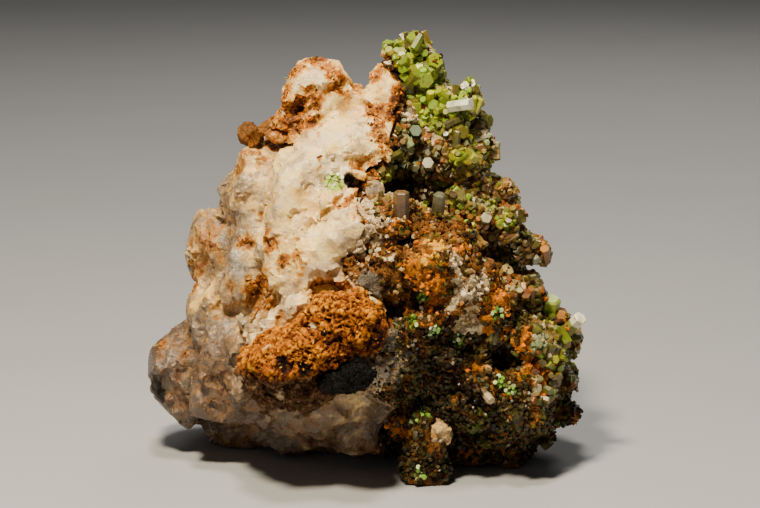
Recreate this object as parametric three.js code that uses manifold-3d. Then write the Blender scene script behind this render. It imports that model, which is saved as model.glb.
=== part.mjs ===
// Pyromorphite specimen: a fist of milky vein quartz with an iron-stained gossan on its right side,
// crusted with hexagonal pyromorphite prisms. A limonite ledge with a black goethite cap juts out in front.
// Millimetres, +Z up. -Y is the show face, +X its right-hand side, and the underside is flat at Z = 0.
// Lumps and prisms are placed about a point under the horn; the whole is then centred on its bounding box.
import * as THREE from "three";
import { ConvexGeometry } from "three/addons/geometries/ConvexGeometry.js";
import { mergeVertices } from "three/addons/utils/BufferGeometryUtils.js";
import Module from "manifold-3d";

const wasm = await Module();
wasm.setup();

// Driving dimensions
const GAP = 0.3; // clearance between minerals that touch
const CHUNK_POINTS = 11; // corners of the smallest lump of rock
const CORNERS_PER_MM = 0.5; // further corners for each millimetre of a lump's largest half size
const CHUNK_JITTER = 0.13; // how far a corner strays, as a share of its radius
const CUTTER_SIZE = 90; // larger than the specimen
const PRISM_SIDES = 6;
const DRUSE_BURIED = 0.45; // share of a druse prism's length that is in the crust
const DRUSE_RAY = 8; // how far off the ground a druse's prisms are aimed from
const DRUSE_LEAN = 1.1; // how far the prisms lean apart
const DRUSE_SPLAY = 0.6; // how far a prism follows the ground under it
const SMALLEST_PRISM = 0.8; // of the druse's stated width and length
const PRISM_SIZE_RANGE = 0.45; // added at random to the smallest
const GOLDEN_ANGLE = Math.PI * (3 - Math.sqrt(5));

// Lumps of rock: centre, half sizes, turn in degrees about X, Y and Z, and squareness (1 round, 0.5 a block)
const QUARTZ = {
  lower_core: { at: [-7, 5, 13], half: [18, 15, 12.5] },
  middle_core: { at: [-7, 4.5, 26], half: [14.5, 13.5, 12], turn: [0, 8, 0] },
  upper_core: { at: [-4.5, 4.5, 37.5], half: [10, 9.5, 9.5], turn: [0, 12, 0] },
  show_slab: { at: [-8.6, -3, 33.5], half: [8.6, 7.2, 11.5], turn: [-16, 12, 12], square: 0.6 },
  slab_corner: { at: [-4.4, -6.6, 36.6], half: [4.6, 4.4, 4.8], turn: [-14, 24, 0], square: 0.6 },
  upper_face: { at: [-3.6, -0.8, 42.4], half: [7, 5, 5.4], turn: [-12, 6, 0], square: 0.65 },
  knob_root: { at: [-7.4, 2, 44.2], half: [5.4, 5, 4.6], turn: [0, 20, 0] },
  knob: { at: [-7.7, 0.8, 49.4], half: [4.1, 3.8, 4.4], turn: [0, 6, 24], square: 0.7 },
  knob_step: { at: [-11.9, 0.2, 45.4], half: [2.6, 3, 1.9], turn: [0, -14, 0], square: 0.65 },
  saddle: { at: [-3, 2, 45], half: [5, 4, 3.8] },
  horn: { at: [0.3, 0.8, 48.2], half: [2.5, 2.8, 4.4], turn: [0, -8, 0], square: 0.65 },
  shoulder: { at: [-21.3, 4, 29.2], half: [3.6, 6.5, 4.6], turn: [0, 28, 0], square: 0.65 },
  shoulder_tip: { at: [-24, 3, 27.4], half: [2, 4, 2.6], turn: [0, 16, 0], square: 0.65 },
  upper_column: { at: [-15.4, 2, 36.4], half: [4.6, 7, 7.6], turn: [0, 24, 0], square: 0.65 },
  grey_column: { at: [-17.8, -2.2, 27.4], half: [2.8, 4.6, 8.6], turn: [-6, 16, 0], square: 0.65 },
  lower_column: { at: [-20, 4, 20], half: [5.6, 9, 8.6], turn: [0, 12, 0], square: 0.65 },
  column_foot: { at: [-20.2, -3.6, 16.2], half: [4.2, 4.6, 6.4], turn: [-8, 16, 0], square: 0.65 },
  left_lobe: { at: [-23.4, 5, 12], half: [6.8, 9, 7], turn: [0, 20, 0] },
  lobe_brow: { at: [-26.6, 3.4, 13.2], half: [4, 6, 4.4], turn: [0, 26, 0], square: 0.65 },
  lobe_chin: { at: [-25.2, 4, 8.8], half: [4.6, 6, 4.4], turn: [0, -34, 0], square: 0.7 },
  left_toe: { at: [-17.8, 8.2, 6.6], half: [7.4, 8.2, 6.2], turn: [0, -8, 0], square: 0.7 },
  under_slab: { at: [-7, 6.8, 6.4], half: [13.4, 10.6, 7.2], turn: [4, 0, 0], square: 0.6 },
  under_bulge: { at: [-2.8, -0.4, 5.4], half: [5.4, 6.8, 6.2], square: 0.75 },
  rear_foot: { at: [-12, 12, 5], half: [10, 9, 6], square: 0.6 },
  ledge_root: { at: [-9.4, -7, 18.6], half: [8.5, 7.6, 6.2], square: 0.65 },
  ledge_lip: { at: [-14.2, -9.6, 20.4], half: [4.8, 4.4, 2.6], turn: [0, -34, 0], square: 0.6 },
  lip_crest: { at: [-10.8, -11.2, 23], half: [3, 2.6, 1.5], turn: [0, -22, 0], square: 0.6 },
  spur: { at: [-17.9, -9.4, 12.4], half: [2.2, 2.6, 1.3], turn: [0, -28, 0], square: 0.6 },
  cheek: { at: [-7, -8.6, 30], half: [5.6, 4.8, 5], turn: [-10, 0, 0], square: 0.6 },
  cheek_corner: { at: [-3.8, -10.6, 33.4], half: [3, 3.2, 3.4], turn: [0, 30, 0], square: 0.6 },
  cheek_left: { at: [-12.6, -6.6, 27.6], half: [3.8, 4, 5], turn: [0, 10, 20], square: 0.6 },
  grey_knob: { at: [-1.6, -12.8, 27.2], half: [2.7, 3.2, 3] },
  granular_slope: { at: [0.4, -10.6, 17.6], half: [4.6, 4.6, 5.4], turn: [0, 14, 0], square: 0.75 },
  rear_slab: { at: [-6, 13, 25], half: [13, 8, 14], turn: [10, 6, 0], square: 0.6 },
  rear_step: { at: [-9, 15, 12], half: [14, 7.5, 9], square: 0.6 },
  knob_left: { at: [-10.3, 0.4, 49.2], half: [2.5, 3.2, 3.9], turn: [0, -8, 0], square: 0.6 },
  column_ridge: { at: [-19, 3, 35.4], half: [2.6, 4, 3.6], turn: [0, 24, 0], square: 0.65 },
  shoulder_crest: { at: [-22.4, 3.4, 30.4], half: [2.8, 4, 2.8], turn: [0, 38, 0], square: 0.65 },
  column_edge: { at: [-22.4, 3, 21.6], half: [3.4, 5, 4.4], turn: [0, 14, 0], square: 0.65 },
  toe_foot: { at: [-19.2, 7.8, 3.6], half: [6, 5.4, 4], square: 0.6 },
};
const GOSSAN = {
  spire: { at: [4.3, 4, 51.4], half: [3, 3.6, 4.6], turn: [0, 4, 0], square: 0.85 },
  spire_left: { at: [1.6, 3.2, 51], half: [2, 2.6, 3.2], turn: [0, -10, 0], square: 0.8 },
  spire_root: { at: [6, 4, 46.2], half: [4.2, 4.6, 5.4], turn: [0, 20, 0], square: 0.75 },
  upper_flank: { at: [9.4, 5.5, 40], half: [5, 6.6, 7.4], turn: [0, 16, 0] },
  upper_rib: { at: [8.2, 1.4, 44.8], half: [2.4, 3.2, 3.6], turn: [0, 22, 0] },
  rib_knee: { at: [9.8, 0.8, 40.6], half: [2.6, 3.4, 3.2], turn: [0, 10, 0] },
  rib_heel: { at: [12.2, 2.2, 36.8], half: [2.6, 3.6, 3], turn: [0, 20, 0] },
  inner_slope: { at: [4.3, 4.5, 42.5], half: [4.4, 4.6, 7] },
  slope_step: { at: [3.2, 0.4, 43.8], half: [2.6, 2.4, 3.2], turn: [0, 20, 0] },
  slope_toe: { at: [6.6, 1.6, 40], half: [2.6, 2.8, 3] },
  middle_flank: { at: [12, 6.5, 31], half: [7, 8, 7.6], turn: [0, 24, 0] },
  flank_shelf: { at: [10.6, -1.6, 33.4], half: [4, 4, 3.6], turn: [0, 16, 0] },
  flank_knuckle: { at: [14.8, 0.8, 32], half: [3.2, 3.6, 3.4], turn: [0, 24, 0] },
  overhang: { at: [17.6, 2.6, 29.4], half: [4.8, 4.6, 1.9], turn: [0, 34, 0], square: 0.6 },
  lower_flank: { at: [13.5, 5, 20.5], half: [7.8, 10, 8.6] },
  flank_sill: { at: [17.2, 0, 22.8], half: [4.6, 4.8, 3], turn: [0, 10, 0] },
  front_mass: { at: [4.6, -8.2, 29], half: [7.6, 7.4, 6.8], turn: [0, 26, 0] },
  mass_brow: { at: [1.4, -10.4, 34.4], half: [4.4, 4.2, 3], turn: [0, 12, 0] },
  mass_nose: { at: [5.8, -13.2, 29.8], half: [4.2, 4, 4], turn: [0, 30, 0] },
  mass_right: { at: [10.4, -8.4, 26.2], half: [4.6, 5.4, 4.2], turn: [0, 34, 0] },
  mass_fin: { at: [9.2, -12.4, 24.6], half: [1.6, 3.2, 4.6], turn: [0, 24, 0], square: 0.6 },
  mass_heel: { at: [13.6, -8, 22.4], half: [3.6, 4.6, 3.8], turn: [0, 20, 0] },
  lower_mass: { at: [14.4, -2, 12.8], half: [10, 10.4, 10.2], square: 0.75 },
  mass_shelf: { at: [17.4, -8.2, 17.8], half: [4.2, 4, 3.8], turn: [0, 20, 0] },
  mass_chin: { at: [10.8, -8.6, 11.8], half: [4.6, 4.6, 4.2], square: 0.75 },
  right_rim: { at: [20.6, 1, 14], half: [4.6, 7.4, 8], square: 0.75 },
  rim_crest: { at: [21.8, 0, 17.6], half: [3.2, 4.6, 3.4], turn: [0, 30, 0] },
  front_lower: { at: [5.2, -6, 18], half: [7.4, 8.4, 8.6] },
  granular_rib: { at: [5.4, -12.6, 20.4], half: [3.6, 3.4, 4.6], turn: [0, 16, 0] },
  nub: { at: [5.6, -7.6, 5.6], half: [2.8, 4.6, 5.6], square: 0.75 },
  nub_foot: { at: [5.2, -9.4, 1.9], half: [3, 3.3, 2.8], square: 0.75 },
  nub_root: { at: [3.8, -3.6, 8], half: [3.8, 4.6, 4.4], square: 0.75 },
  rim_chin: { at: [21, 1.2, 6.6], half: [4.6, 5.6, 4], turn: [0, -38, 0], square: 0.75 },
  right_bottom: { at: [11, 3, 4.6], half: [10.6, 7.4, 6], square: 0.6 },
  rear_right_foot: { at: [10, 11, 5.5], half: [10, 8, 6.5], square: 0.6 },
  rear_gossan: { at: [8.6, 12, 20], half: [9.6, 8.6, 13.6], turn: [0, 10, 0], square: 0.65 },
  rear_knuckle: { at: [15, 12, 12], half: [6.4, 6.4, 7.4], square: 0.7 },
  spire_shoulder: { at: [2, 3.2, 53.2], half: [2, 2.4, 2.4], square: 0.75 },
  crown_knuckle: { at: [11, 1.8, 47.8], half: [2, 2.6, 2.3], turn: [0, 20, 0], square: 0.7 },
  overhang_lip: { at: [20.4, 1.8, 28], half: [2.4, 3, 1.7], turn: [0, 34, 0], square: 0.65 },
  front_foot: { at: [14, -0.8, 2.6], half: [6.8, 4, 3.2], square: 0.6 },
  nub_toe: { at: [6.8, -9.6, 2], half: [2.4, 2.8, 2.4], square: 0.7 },
};
const PITS = {
  cavity: { at: [2.4, -3.4, 37.3], half: [2.8, 6, 2.4], square: 0.8 },
  knob_hollow: { at: [-11, -3.4, 47.2], half: [2, 3, 1.7], square: 0.8 },
  dark_hole: { at: [-3.2, -9.2, 38.9], half: [1.6, 3.4, 1.2], square: 0.8 },
  right_hole: { at: [15.6, -12.6, 16.2], half: [2.8, 4.6, 1.9], square: 0.8 },
  overhang_hollow: { at: [17.2, -3.4, 26.4], half: [3.4, 5, 1.5], turn: [0, 26, 0], square: 0.8 },
  left_trough: { at: [-16, -8.8, 24], half: [2.6, 3.6, 8.4], turn: [0, -14, 0], square: 0.85 },
  shoulder_notch: { at: [-20.4, -5.8, 30.6], half: [2, 3.8, 5.2], turn: [0, 16, 0], square: 0.85 },
  undercut: { at: [-6.6, -5, 0], half: [10.4, 6.4, 1.9], square: 0.6 },
};
const LEDGE = {
  upper_lobe: { at: [-4.6, -16, 22.8], half: [4.6, 4.2, 3.2], turn: [0, -12, 0], square: 0.75 },
  lobe_top: { at: [-6, -15.4, 24.4], half: [2.4, 2.6, 1.6], turn: [0, 10, 0], square: 0.75 },
  right_lobe: { at: [-1.8, -14.8, 21.4], half: [2.4, 3.4, 3.2], square: 0.75 },
  saddle: { at: [-7.4, -16, 20], half: [4.6, 4.4, 3.2], square: 0.75 },
  lower_lobe: { at: [-11.4, -16.2, 18.4], half: [5.4, 4.8, 3.4], turn: [0, -20, 0] },
  left_cheek: { at: [-14.8, -13.8, 15.8], half: [2.8, 4, 3.6], turn: [0, -20, 0], square: 0.75 },
  keel: { at: [-11.2, -14, 13.8], half: [5.2, 4.4, 2.6], turn: [0, -6, 0] },
  keel_step: { at: [-7.6, -14.4, 15.4], half: [3.6, 3.8, 2.4], turn: [0, -16, 0] },
};
const GOETHITE = {
  cap: { at: [-3.9, -18.4, 16.4], half: [3, 2.8, 2], turn: [0, -14, 0] },
  tail: { at: [-6, -17.8, 15.6], half: [1.9, 2.2, 1.1], turn: [0, -14, 0] },
};
const NODULE = {
  ball: { at: [-17, 1.5, 43.6], half: [1.8, 1.8, 1.7], square: 0.9 },
  neck: { at: [-14.9, 1.8, 44.3], half: [1.7, 1.6, 1.1], turn: [0, -20, 0], square: 0.8 },
};
// Milky quartz caught in the gossan beside the foot
const KNOT = {
  knot: { at: [7.4, -9.8, 6.6], half: [1.6, 2.6, 2], turn: [0, -24, 0], square: 0.7 },
};

// Druses of small prisms on the crust: centre, the way they face, radius, number of prisms,
// and the width across corners and length of one
const DRUSES = {
  summit: { at: [4.6, 4, 55], facing: [0.1, -0.3, 1], radius: 2.3, count: 3, width: 2.4, length: 3 },
  spire_front: {
    at: [4.6, 0, 51.6], facing: [0.1, -1, 0.25], radius: 3.1, count: 4, width: 2.3, length: 2.8,
  },
  spire_right: {
    at: [7.2, 3.5, 50], facing: [0.9, -0.3, 0.3], radius: 2.8, count: 2, width: 2.2, length: 2.6,
  },
  rib_front: { at: [8.8, -2, 45.2], facing: [0.2, -1, 0.2], radius: 3.4, count: 3, width: 2.2, length: 2.6 },
  flank_edge: { at: [12.6, 3, 42], facing: [0.9, -0.3, 0.3], radius: 4.4, count: 3, width: 2.2, length: 2 },
  slope: { at: [5, -1.5, 43], facing: [-0.1, -1, 0.3], radius: 2.6, count: 2, width: 1.9, length: 2.4 },
  knee: { at: [10.8, -2.5, 39], facing: [0.2, -1, 0.1], radius: 3.6, count: 3, width: 2.2, length: 2.6 },
  shelf: { at: [11.6, -4, 33.4], facing: [0.1, -0.8, 0.6], radius: 4.2, count: 3, width: 2, length: 2.4 },
  middle_edge: { at: [17, 2, 34], facing: [0.8, -0.4, 0.45], radius: 4, count: 3, width: 2.3, length: 2.6 },
  brow: { at: [5, -15, 31], facing: [0.1, -1, 0.4], radius: 4.6, count: 2, width: 1.9, length: 2.3 },
  sill: { at: [17, -3, 23.4], facing: [0.4, -0.8, 0.5], radius: 3.8, count: 3, width: 2.1, length: 2.6 },
  rim_top: { at: [21.4, -1, 18.6], facing: [0.6, -0.6, 0.4], radius: 3.4, count: 3, width: 2.3, length: 3 },
  rim_side: { at: [25.6, 0, 12.5], facing: [1, -0.3, 0], radius: 5.2, count: 5, width: 2.3, length: 3 },
  rim_low: { at: [21.6, -2, 5], facing: [0.7, -0.6, -0.2], radius: 4, count: 3, width: 2.2, length: 2.8 },
  central_slope: {
    at: [6, -14.5, 19.4], facing: [0.1, -1, -0.1], radius: 4.2, count: 2, width: 1.9, length: 2.4,
  },
  lower_front: { at: [13, -13, 9.6], facing: [0.1, -1, -0.3], radius: 4.6, count: 2, width: 2, length: 2.6 },
  nub_front: { at: [5.4, -13, 5], facing: [0, -1, -0.1], radius: 2.6, count: 1, width: 1.9, length: 2.2 },
  back_flank: { at: [12, 14, 31], facing: [0.6, 0.7, 0.3], radius: 5, count: 2, width: 2.4, length: 3 },
  back_rim: { at: [20, 12, 14], facing: [0.8, 0.6, 0.1], radius: 5, count: 2, width: 2.4, length: 3 },
};
// Prisms that stand alone: centre of the foot, the way they point, width across corners, length,
// and how far the end is bevelled, as a share of the radius
const CRYSTALS = {
  crystal_brown: {
    foot: [2.5, -13.2, 34.6], axis: [0, -0.12, 1], width: 2, length: 4.2, bevel: 0.1, coat: "tan",
  },
  crystal_grey: { foot: [7, -8.6, 33.8], axis: [0.1, -0.25, 1], width: 1.6, length: 4.2, bevel: 0.3 },
  crystal_crown: { foot: [8.8, -1, 47.6], axis: [0.9, -0.5, 0.2], width: 1.6, length: 3.2 },
  crystal_slope: { foot: [4.3, 0.4, 44.4], axis: [0.05, -1, 0.12], width: 1.5, length: 3.8 },
  crystal_pale: { foot: [6.3, -0.2, 39.8], axis: [-0.1, -1, 0.3], width: 1.5, length: 3 },
  crystal_rim_tip: {
    foot: [23.8, -2.4, 17.6], axis: [0.52, -0.5, 0.7], width: 1.9, length: 4.2, bevel: 0.12,
  },
  crystal_rim_plate: { foot: [21.9, 0.8, 18.4], axis: [0.1, -0.3, 0.95], width: 2.9, length: 4, bevel: 0.2 },
  crystal_rim_side: { foot: [20.6, -3.4, 17.6], axis: [0.45, -0.7, -0.35], width: 1.4, length: 4.2 },
  crystal_low: { foot: [12.7, -11.8, 13.1], axis: [0.45, -0.8, -0.4], width: 1.1, length: 2.8 },
};
// The small green tuft on the white face: prisms grown from one spot
const TUFT = {
  middle: { foot: [-6.1, -8.4, 39.2], axis: [0, -1, 0.3], width: 1.5, length: 3.2 },
  left: { foot: [-6.6, -8.4, 39.4], axis: [-0.4, -1, 0.5], width: 1.1, length: 3 },
  right: { foot: [-5.6, -8.4, 39], axis: [0.45, -1, 0.1], width: 1.2, length: 2.8 },
  top: { foot: [-6, -8.2, 39.8], axis: [0.1, -1, 0.8], width: 1.2, length: 2.9 },
  low: { foot: [-6.3, -8.4, 38.8], axis: [-0.2, -1, -0.1], width: 1.1, length: 2.8 },
};

// The jagged join between quartz (left) and gossan (right), seen from the front, top to bottom: [X, Z]
const JOIN = [
  [-1.6, 62], [-1.2, 53.6], [0.6, 52], [2.4, 51], [1.9, 46.5], [0.8, 44], [1.6, 41.4],
  [-1.6, 39.8], [-3.6, 36.8], [-2, 34.6], [-3.4, 31.5], [-4.2, 28.5], [0.2, 24.5],
  [-0.4, 20.5], [1.2, 16], [-1.2, 12], [2.6, 9.5], [0.6, 6], [0.5, -2],
];

// A number from 0 to 1 that depends only on a and b.
function chance(a, b) {
  const s = Math.sin(a * 127.1 + b * 311.7) * 43758.5453;
  return s - Math.floor(s);
}

// Unit vectors spread evenly over a sphere.
function spread(count) {
  return Array.from({ length: count }, (_, i) => {
    const z = 1 - (2 * i + 1) / count;
    const r = Math.sqrt(1 - z * z);
    return new THREE.Vector3(r * Math.cos(i * GOLDEN_ANGLE), r * Math.sin(i * GOLDEN_ANGLE), z);
  });
}

function turnOf(degrees) {
  return new THREE.Euler(...degrees.map(THREE.MathUtils.degToRad));
}

// A closed three.js geometry as a solid that can be joined and cut.
function solid(geometry) {
  geometry.deleteAttribute("normal");
  geometry.deleteAttribute("uv");
  const merged = mergeVertices(geometry, 1e-4);
  return new wasm.Manifold(
    new wasm.Mesh({
      numProp: 3,
      vertProperties: merged.attributes.position.array,
      triVerts: new Uint32Array(merged.index.array),
    }),
  );
}

// One flat-faced lump. grow makes the same lump larger all round, for a seat with clearance.
function chunk({ at, half, turn = [0, 0, 0], square = 0.7 }, seed, grow = 0) {
  const bend = (v) => Math.sign(v) * Math.abs(v) ** square;
  const corners = CHUNK_POINTS + Math.round(CORNERS_PER_MM * Math.max(...half));
  const points = spread(corners).map((d, i) => {
    const stray = 1 + CHUNK_JITTER * (2 * chance(seed, i) - 1);
    const corner = new THREE.Vector3(bend(d.x), bend(d.y), bend(d.z)).multiplyScalar(stray);
    corner.multiply(new THREE.Vector3(half[0] + grow, half[1] + grow, half[2] + grow));
    return corner.applyEuler(turnOf(turn)).add(new THREE.Vector3(...at));
  });
  return solid(new ConvexGeometry(points));
}

function chunks(lumps, grow = 0) {
  return Object.values(lumps).map((lump, i) => chunk(lump, i + lump.at[0], grow));
}

// A closed hexagonal prism, its end bevelled by a share of its radius.
function prism({ foot, axis, width, length, bevel = 0, spin = 0 }, grow = 0) {
  const radius = width / 2 + grow;
  const along = new THREE.Vector3(...axis).normalize();
  const upright = new THREE.Quaternion().setFromUnitVectors(new THREE.Vector3(0, 0, 1), along);
  const ring = (r, z) =>
    Array.from({ length: PRISM_SIDES }, (_, i) => {
      const angle = spin + (i * 2 * Math.PI) / PRISM_SIDES;
      return new THREE.Vector3(r * Math.cos(angle), r * Math.sin(angle), z);
    });
  const top = length + grow;
  const points = [...ring(radius, -grow), ...ring(radius, top - bevel * radius)];
  if (bevel) points.push(...ring(radius * (1 - bevel), top));
  const base = new THREE.Vector3(...foot);
  return solid(new ConvexGeometry(points.map((v) => v.applyQuaternion(upright).add(base))));
}

function prisms(crystals, grow = 0) {
  return Object.values(crystals).map((crystal) => prism(crystal, grow));
}

// The join's larger X near a height, so that the druses keep off the quartz.
function joinX(z) {
  const below = JOIN.findIndex(([, height]) => height <= z);
  return Math.max(JOIN[below - 1][0], JOIN[below][0]);
}

// A small random offset that depends only on seed and i.
function stray(seed, i) {
  return new THREE.Vector3(
    chance(seed, i) - 0.5,
    chance(seed + 0.3, i) - 0.5,
    chance(seed + 0.6, i) - 0.5,
  );
}

// Prisms on the ground under a druse, in a sunflower's order, each leaning its own way.
function druse({ at, facing, radius, count, width, length }, seed, ground) {
  const front = new THREE.Vector3(...facing).normalize();
  const side = new THREE.Vector3(0, 1, 0.2).cross(front).normalize();
  const up = front.clone().cross(side);
  const grown = [];
  for (let i = 0; i < count; i++) {
    const reach = radius * Math.sqrt((i + 0.5) / count);
    const start = new THREE.Vector3(...at)
      .addScaledVector(side, reach * Math.cos(i * GOLDEN_ANGLE))
      .addScaledVector(up, reach * Math.sin(i * GOLDEN_ANGLE))
      .addScaledVector(front, DRUSE_RAY);
    const [hit] = new THREE.Raycaster(start, front.clone().negate()).intersectObject(ground);
    if (!hit || hit.distance > 2 * DRUSE_RAY || hit.point.x < joinX(hit.point.z) + width) continue;
    const axis = hit.face.normal
      .clone()
      .multiplyScalar(DRUSE_SPLAY)
      .add(front)
      .addScaledVector(stray(seed, i), DRUSE_LEAN)
      .normalize();
    const size = SMALLEST_PRISM + PRISM_SIZE_RANGE * chance(i, seed);
    const foot = hit.point.clone().addScaledVector(axis, -DRUSE_BURIED * length * size);
    if (foot.z < width) continue;
    grown.push(prism({ foot, axis, width: width * size, length: length * size, spin: i }));
  }
  return grown;
}

function join(solids) {
  return wasm.Manifold.union(solids);
}

// The largest of the separate bodies that a cut can leave.
function largest(body) {
  return body.decompose().reduce((a, b) => (b.volume() > a.volume() ? b : a));
}

// Everything on the gossan side of the join, moved out by shift along the join's own normals.
function gossanSide(shift) {
  const edge = JOIN.map(([x, z], i) => {
    const before = JOIN[Math.max(i - 1, 0)];
    const after = JOIN[Math.min(i + 1, JOIN.length - 1)];
    const along = new THREE.Vector2(after[0] - before[0], after[1] - before[1]).normalize();
    return new THREE.Vector2(x - along.y * shift, z + along.x * shift);
  });
  const outline = new THREE.Shape([
    ...edge,
    new THREE.Vector2(CUTTER_SIZE, edge.at(-1).y),
    new THREE.Vector2(CUTTER_SIZE, edge[0].y),
  ]);
  const slab = new THREE.ExtrudeGeometry(outline, { depth: CUTTER_SIZE, bevelEnabled: false });
  slab.rotateX(Math.PI / 2).translate(0, CUTTER_SIZE / 2, 0);
  return solid(slab);
}

// Everything above the flat underside.
function aboveFloor() {
  const box = new THREE.BoxGeometry(CUTTER_SIZE, CUTTER_SIZE, CUTTER_SIZE);
  return solid(box.translate(0, 0, CUTTER_SIZE / 2));
}

function meshOf(name, body, material) {
  const { numProp, numVert, vertProperties, triVerts } = body.getMesh();
  const positions = new Float32Array(numVert * 3);
  for (let i = 0; i < numVert; i++) {
    positions.set(vertProperties.subarray(i * numProp, i * numProp + 3), i * 3);
  }
  const geometry = new THREE.BufferGeometry()
    .setAttribute("position", new THREE.BufferAttribute(positions, 3))
    .setIndex(new THREE.BufferAttribute(new Uint32Array(triVerts), 1));
  const mesh = new THREE.Mesh(geometry, material);
  mesh.name = name;
  return mesh;
}

function finish(color, roughness) {
  return new THREE.MeshStandardMaterial({ color, roughness, metalness: 0, flatShading: true });
}

const materials = {
  quartz: finish(0xd9c7ab, 0.5),
  gossan: finish(0x5a3416, 0.85),
  limonite: finish(0xa8560d, 0.95),
  goethite: finish(0x15110f, 0.6),
  green: finish(0x7f9a1e, 0.3),
  tan: finish(0xa98a5a, 0.35),
};

const rock = join([...chunks(QUARTZ), ...chunks(GOSSAN)])
  .subtract(join(chunks(PITS)))
  .intersect(aboveFloor());
const ground = meshOf("ground", rock, new THREE.MeshBasicMaterial());
const druses = Object.values(DRUSES).flatMap((patch, i) => druse(patch, i, ground));
const seats = join([
  ...chunks(LEDGE, GAP),
  ...chunks(GOETHITE, GAP),
  ...chunks(NODULE, GAP),
  ...chunks(KNOT, GAP),
  ...prisms(CRYSTALS, GAP),
  ...prisms(TUFT, GAP),
]);
const quartz = largest(rock.subtract(gossanSide(-GAP / 2)).subtract(seats));
const gossan = largest(join([rock, ...druses]).intersect(gossanSide(GAP / 2)).subtract(seats));
const ledge = largest(join(chunks(LEDGE)).subtract(join(chunks(GOETHITE, GAP))));

const specimen = new THREE.Group();
specimen.add(
  meshOf("quartz_matrix", quartz, materials.quartz),
  meshOf("gossan_crust", gossan, materials.gossan),
  meshOf("limonite_ledge", ledge, materials.limonite),
  meshOf("goethite_cap", join(chunks(GOETHITE)), materials.goethite),
  meshOf("limonite_nodule", join(chunks(NODULE)), materials.limonite),
  meshOf("quartz_knot", join(chunks(KNOT)), materials.quartz),
  meshOf("pyromorphite_tuft", join(prisms(TUFT)), materials.green),
);
for (const [name, crystal] of Object.entries(CRYSTALS)) {
  specimen.add(meshOf(name, prism(crystal), materials[crystal.coat ?? "green"]));
}

// The origin is the middle of the bounding box's underside.
const middle = new THREE.Box3().setFromObject(specimen).getCenter(new THREE.Vector3());
for (const mesh of specimen.children) mesh.geometry.translate(-middle.x, -middle.y, 0);

export default specimen;
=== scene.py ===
import math
from itertools import product

import bmesh
import bpy
import numpy as np
from mathutils import Euler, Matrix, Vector
from mathutils.bvhtree import BVHTree
from mathutils.kdtree import KDTree


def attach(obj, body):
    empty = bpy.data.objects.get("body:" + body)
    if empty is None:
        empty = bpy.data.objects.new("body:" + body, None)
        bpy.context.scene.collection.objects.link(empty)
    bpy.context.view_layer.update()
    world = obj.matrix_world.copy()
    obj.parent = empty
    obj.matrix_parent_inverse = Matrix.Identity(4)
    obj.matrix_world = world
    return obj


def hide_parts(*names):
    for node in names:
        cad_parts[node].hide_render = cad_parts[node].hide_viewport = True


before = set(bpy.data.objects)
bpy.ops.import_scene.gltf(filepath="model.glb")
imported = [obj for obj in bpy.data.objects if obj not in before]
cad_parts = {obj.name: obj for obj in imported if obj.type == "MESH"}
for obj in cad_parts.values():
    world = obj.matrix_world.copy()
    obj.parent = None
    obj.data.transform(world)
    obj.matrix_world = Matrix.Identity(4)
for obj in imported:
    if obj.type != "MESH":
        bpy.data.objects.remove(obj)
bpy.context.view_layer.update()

MM = 0.001
FLOOR_CLEAR = 0.05  # the lowest that anything reaches, so that the flat underside stays flat
NOISE_TURN = np.array(Euler((0.7, 0.4, 1.1)).to_matrix())  # keeps the noise's grid off the axes
rng = np.random.default_rng(20)


# Noise
def hashed(cell, seed):
    """A random number from 0 to 1 for each whole-numbered cell of space, the same on every run."""
    x, y, z = np.moveaxis(cell.astype(np.int64), -1, 0)
    mixed = (x * 73856093) ^ (y * 19349663) ^ (z * 83492791) ^ (int(seed) * 39916801 + 97)
    mixed &= 0xFFFFFFFF
    mixed = ((mixed ^ (mixed >> 15)) * 739982445) & 0xFFFFFFFF
    mixed = ((mixed ^ (mixed >> 12)) * 695872825) & 0xFFFFFFFF
    return (mixed ^ (mixed >> 15)) / 2**32


def wave(at, seed):
    """Smooth noise from -1 to 1 with features of size 1."""
    cell = np.floor(at)
    part = at - cell
    part = part * part * (3 - 2 * part)
    total = np.zeros(len(at))
    for corner in product((0, 1), repeat=3):
        weight = np.where(corner, part, 1 - part).prod(1)
        total += weight * hashed(cell + corner, seed)
    return 2 * total - 1


def field(points, size, octaves=3, seed=0, rough=0.55):
    """Fractal noise of about -1 to 1 with features of that size."""
    at = points @ NOISE_TURN / size
    shares = rough ** np.arange(octaves)
    layers = [share * wave(at * 2.1**i, seed * 17 + i) for i, share in enumerate(shares)]
    return 1.6 * sum(layers) / np.sqrt((shares**2).sum()) / 1.5


def cells(points, size, seed=0):
    """How far each point is from the nearest and the next of random seeds, and a number for the nearest."""
    at = points @ NOISE_TURN / size
    base = np.floor(at)
    first = np.full(len(at), 9.0)
    second = first.copy()
    own = np.zeros(len(at))
    for shift in product((-1, 0, 1), repeat=3):
        cell = base + shift
        spot = cell + np.stack([hashed(cell, seed * 7 + k) for k in range(3)], -1)
        away = np.linalg.norm(spot - at, axis=1)
        closer = away < first
        second = np.where(closer, first, np.minimum(second, away))
        own = np.where(closer, hashed(cell, seed * 7 + 3), own)
        first = np.where(closer, away, first)
    return first, second, own


def strayed(points, reach=0.8):
    """The points moved about at random, so that what is drawn around a spot gets a ragged outline."""
    far = np.stack([field(points, 2.2, 3, 40 + k) for k in range(3)], 1)
    return points + reach * far


def near(strays, spots):
    """1 at a spot (x, y, z, radius, strength), falling to 0 a little beyond its radius."""
    out = np.zeros(len(strays))
    for x, y, z, radius, strength in spots:
        away = np.linalg.norm(strays - (x, y, z), axis=1) / radius
        out = np.maximum(out, strength * np.clip(1.5 - away, 0, 1))
    return out


def unit(vectors):
    return vectors / np.maximum(np.linalg.norm(vectors, axis=-1, keepdims=True), 1e-9)


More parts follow.
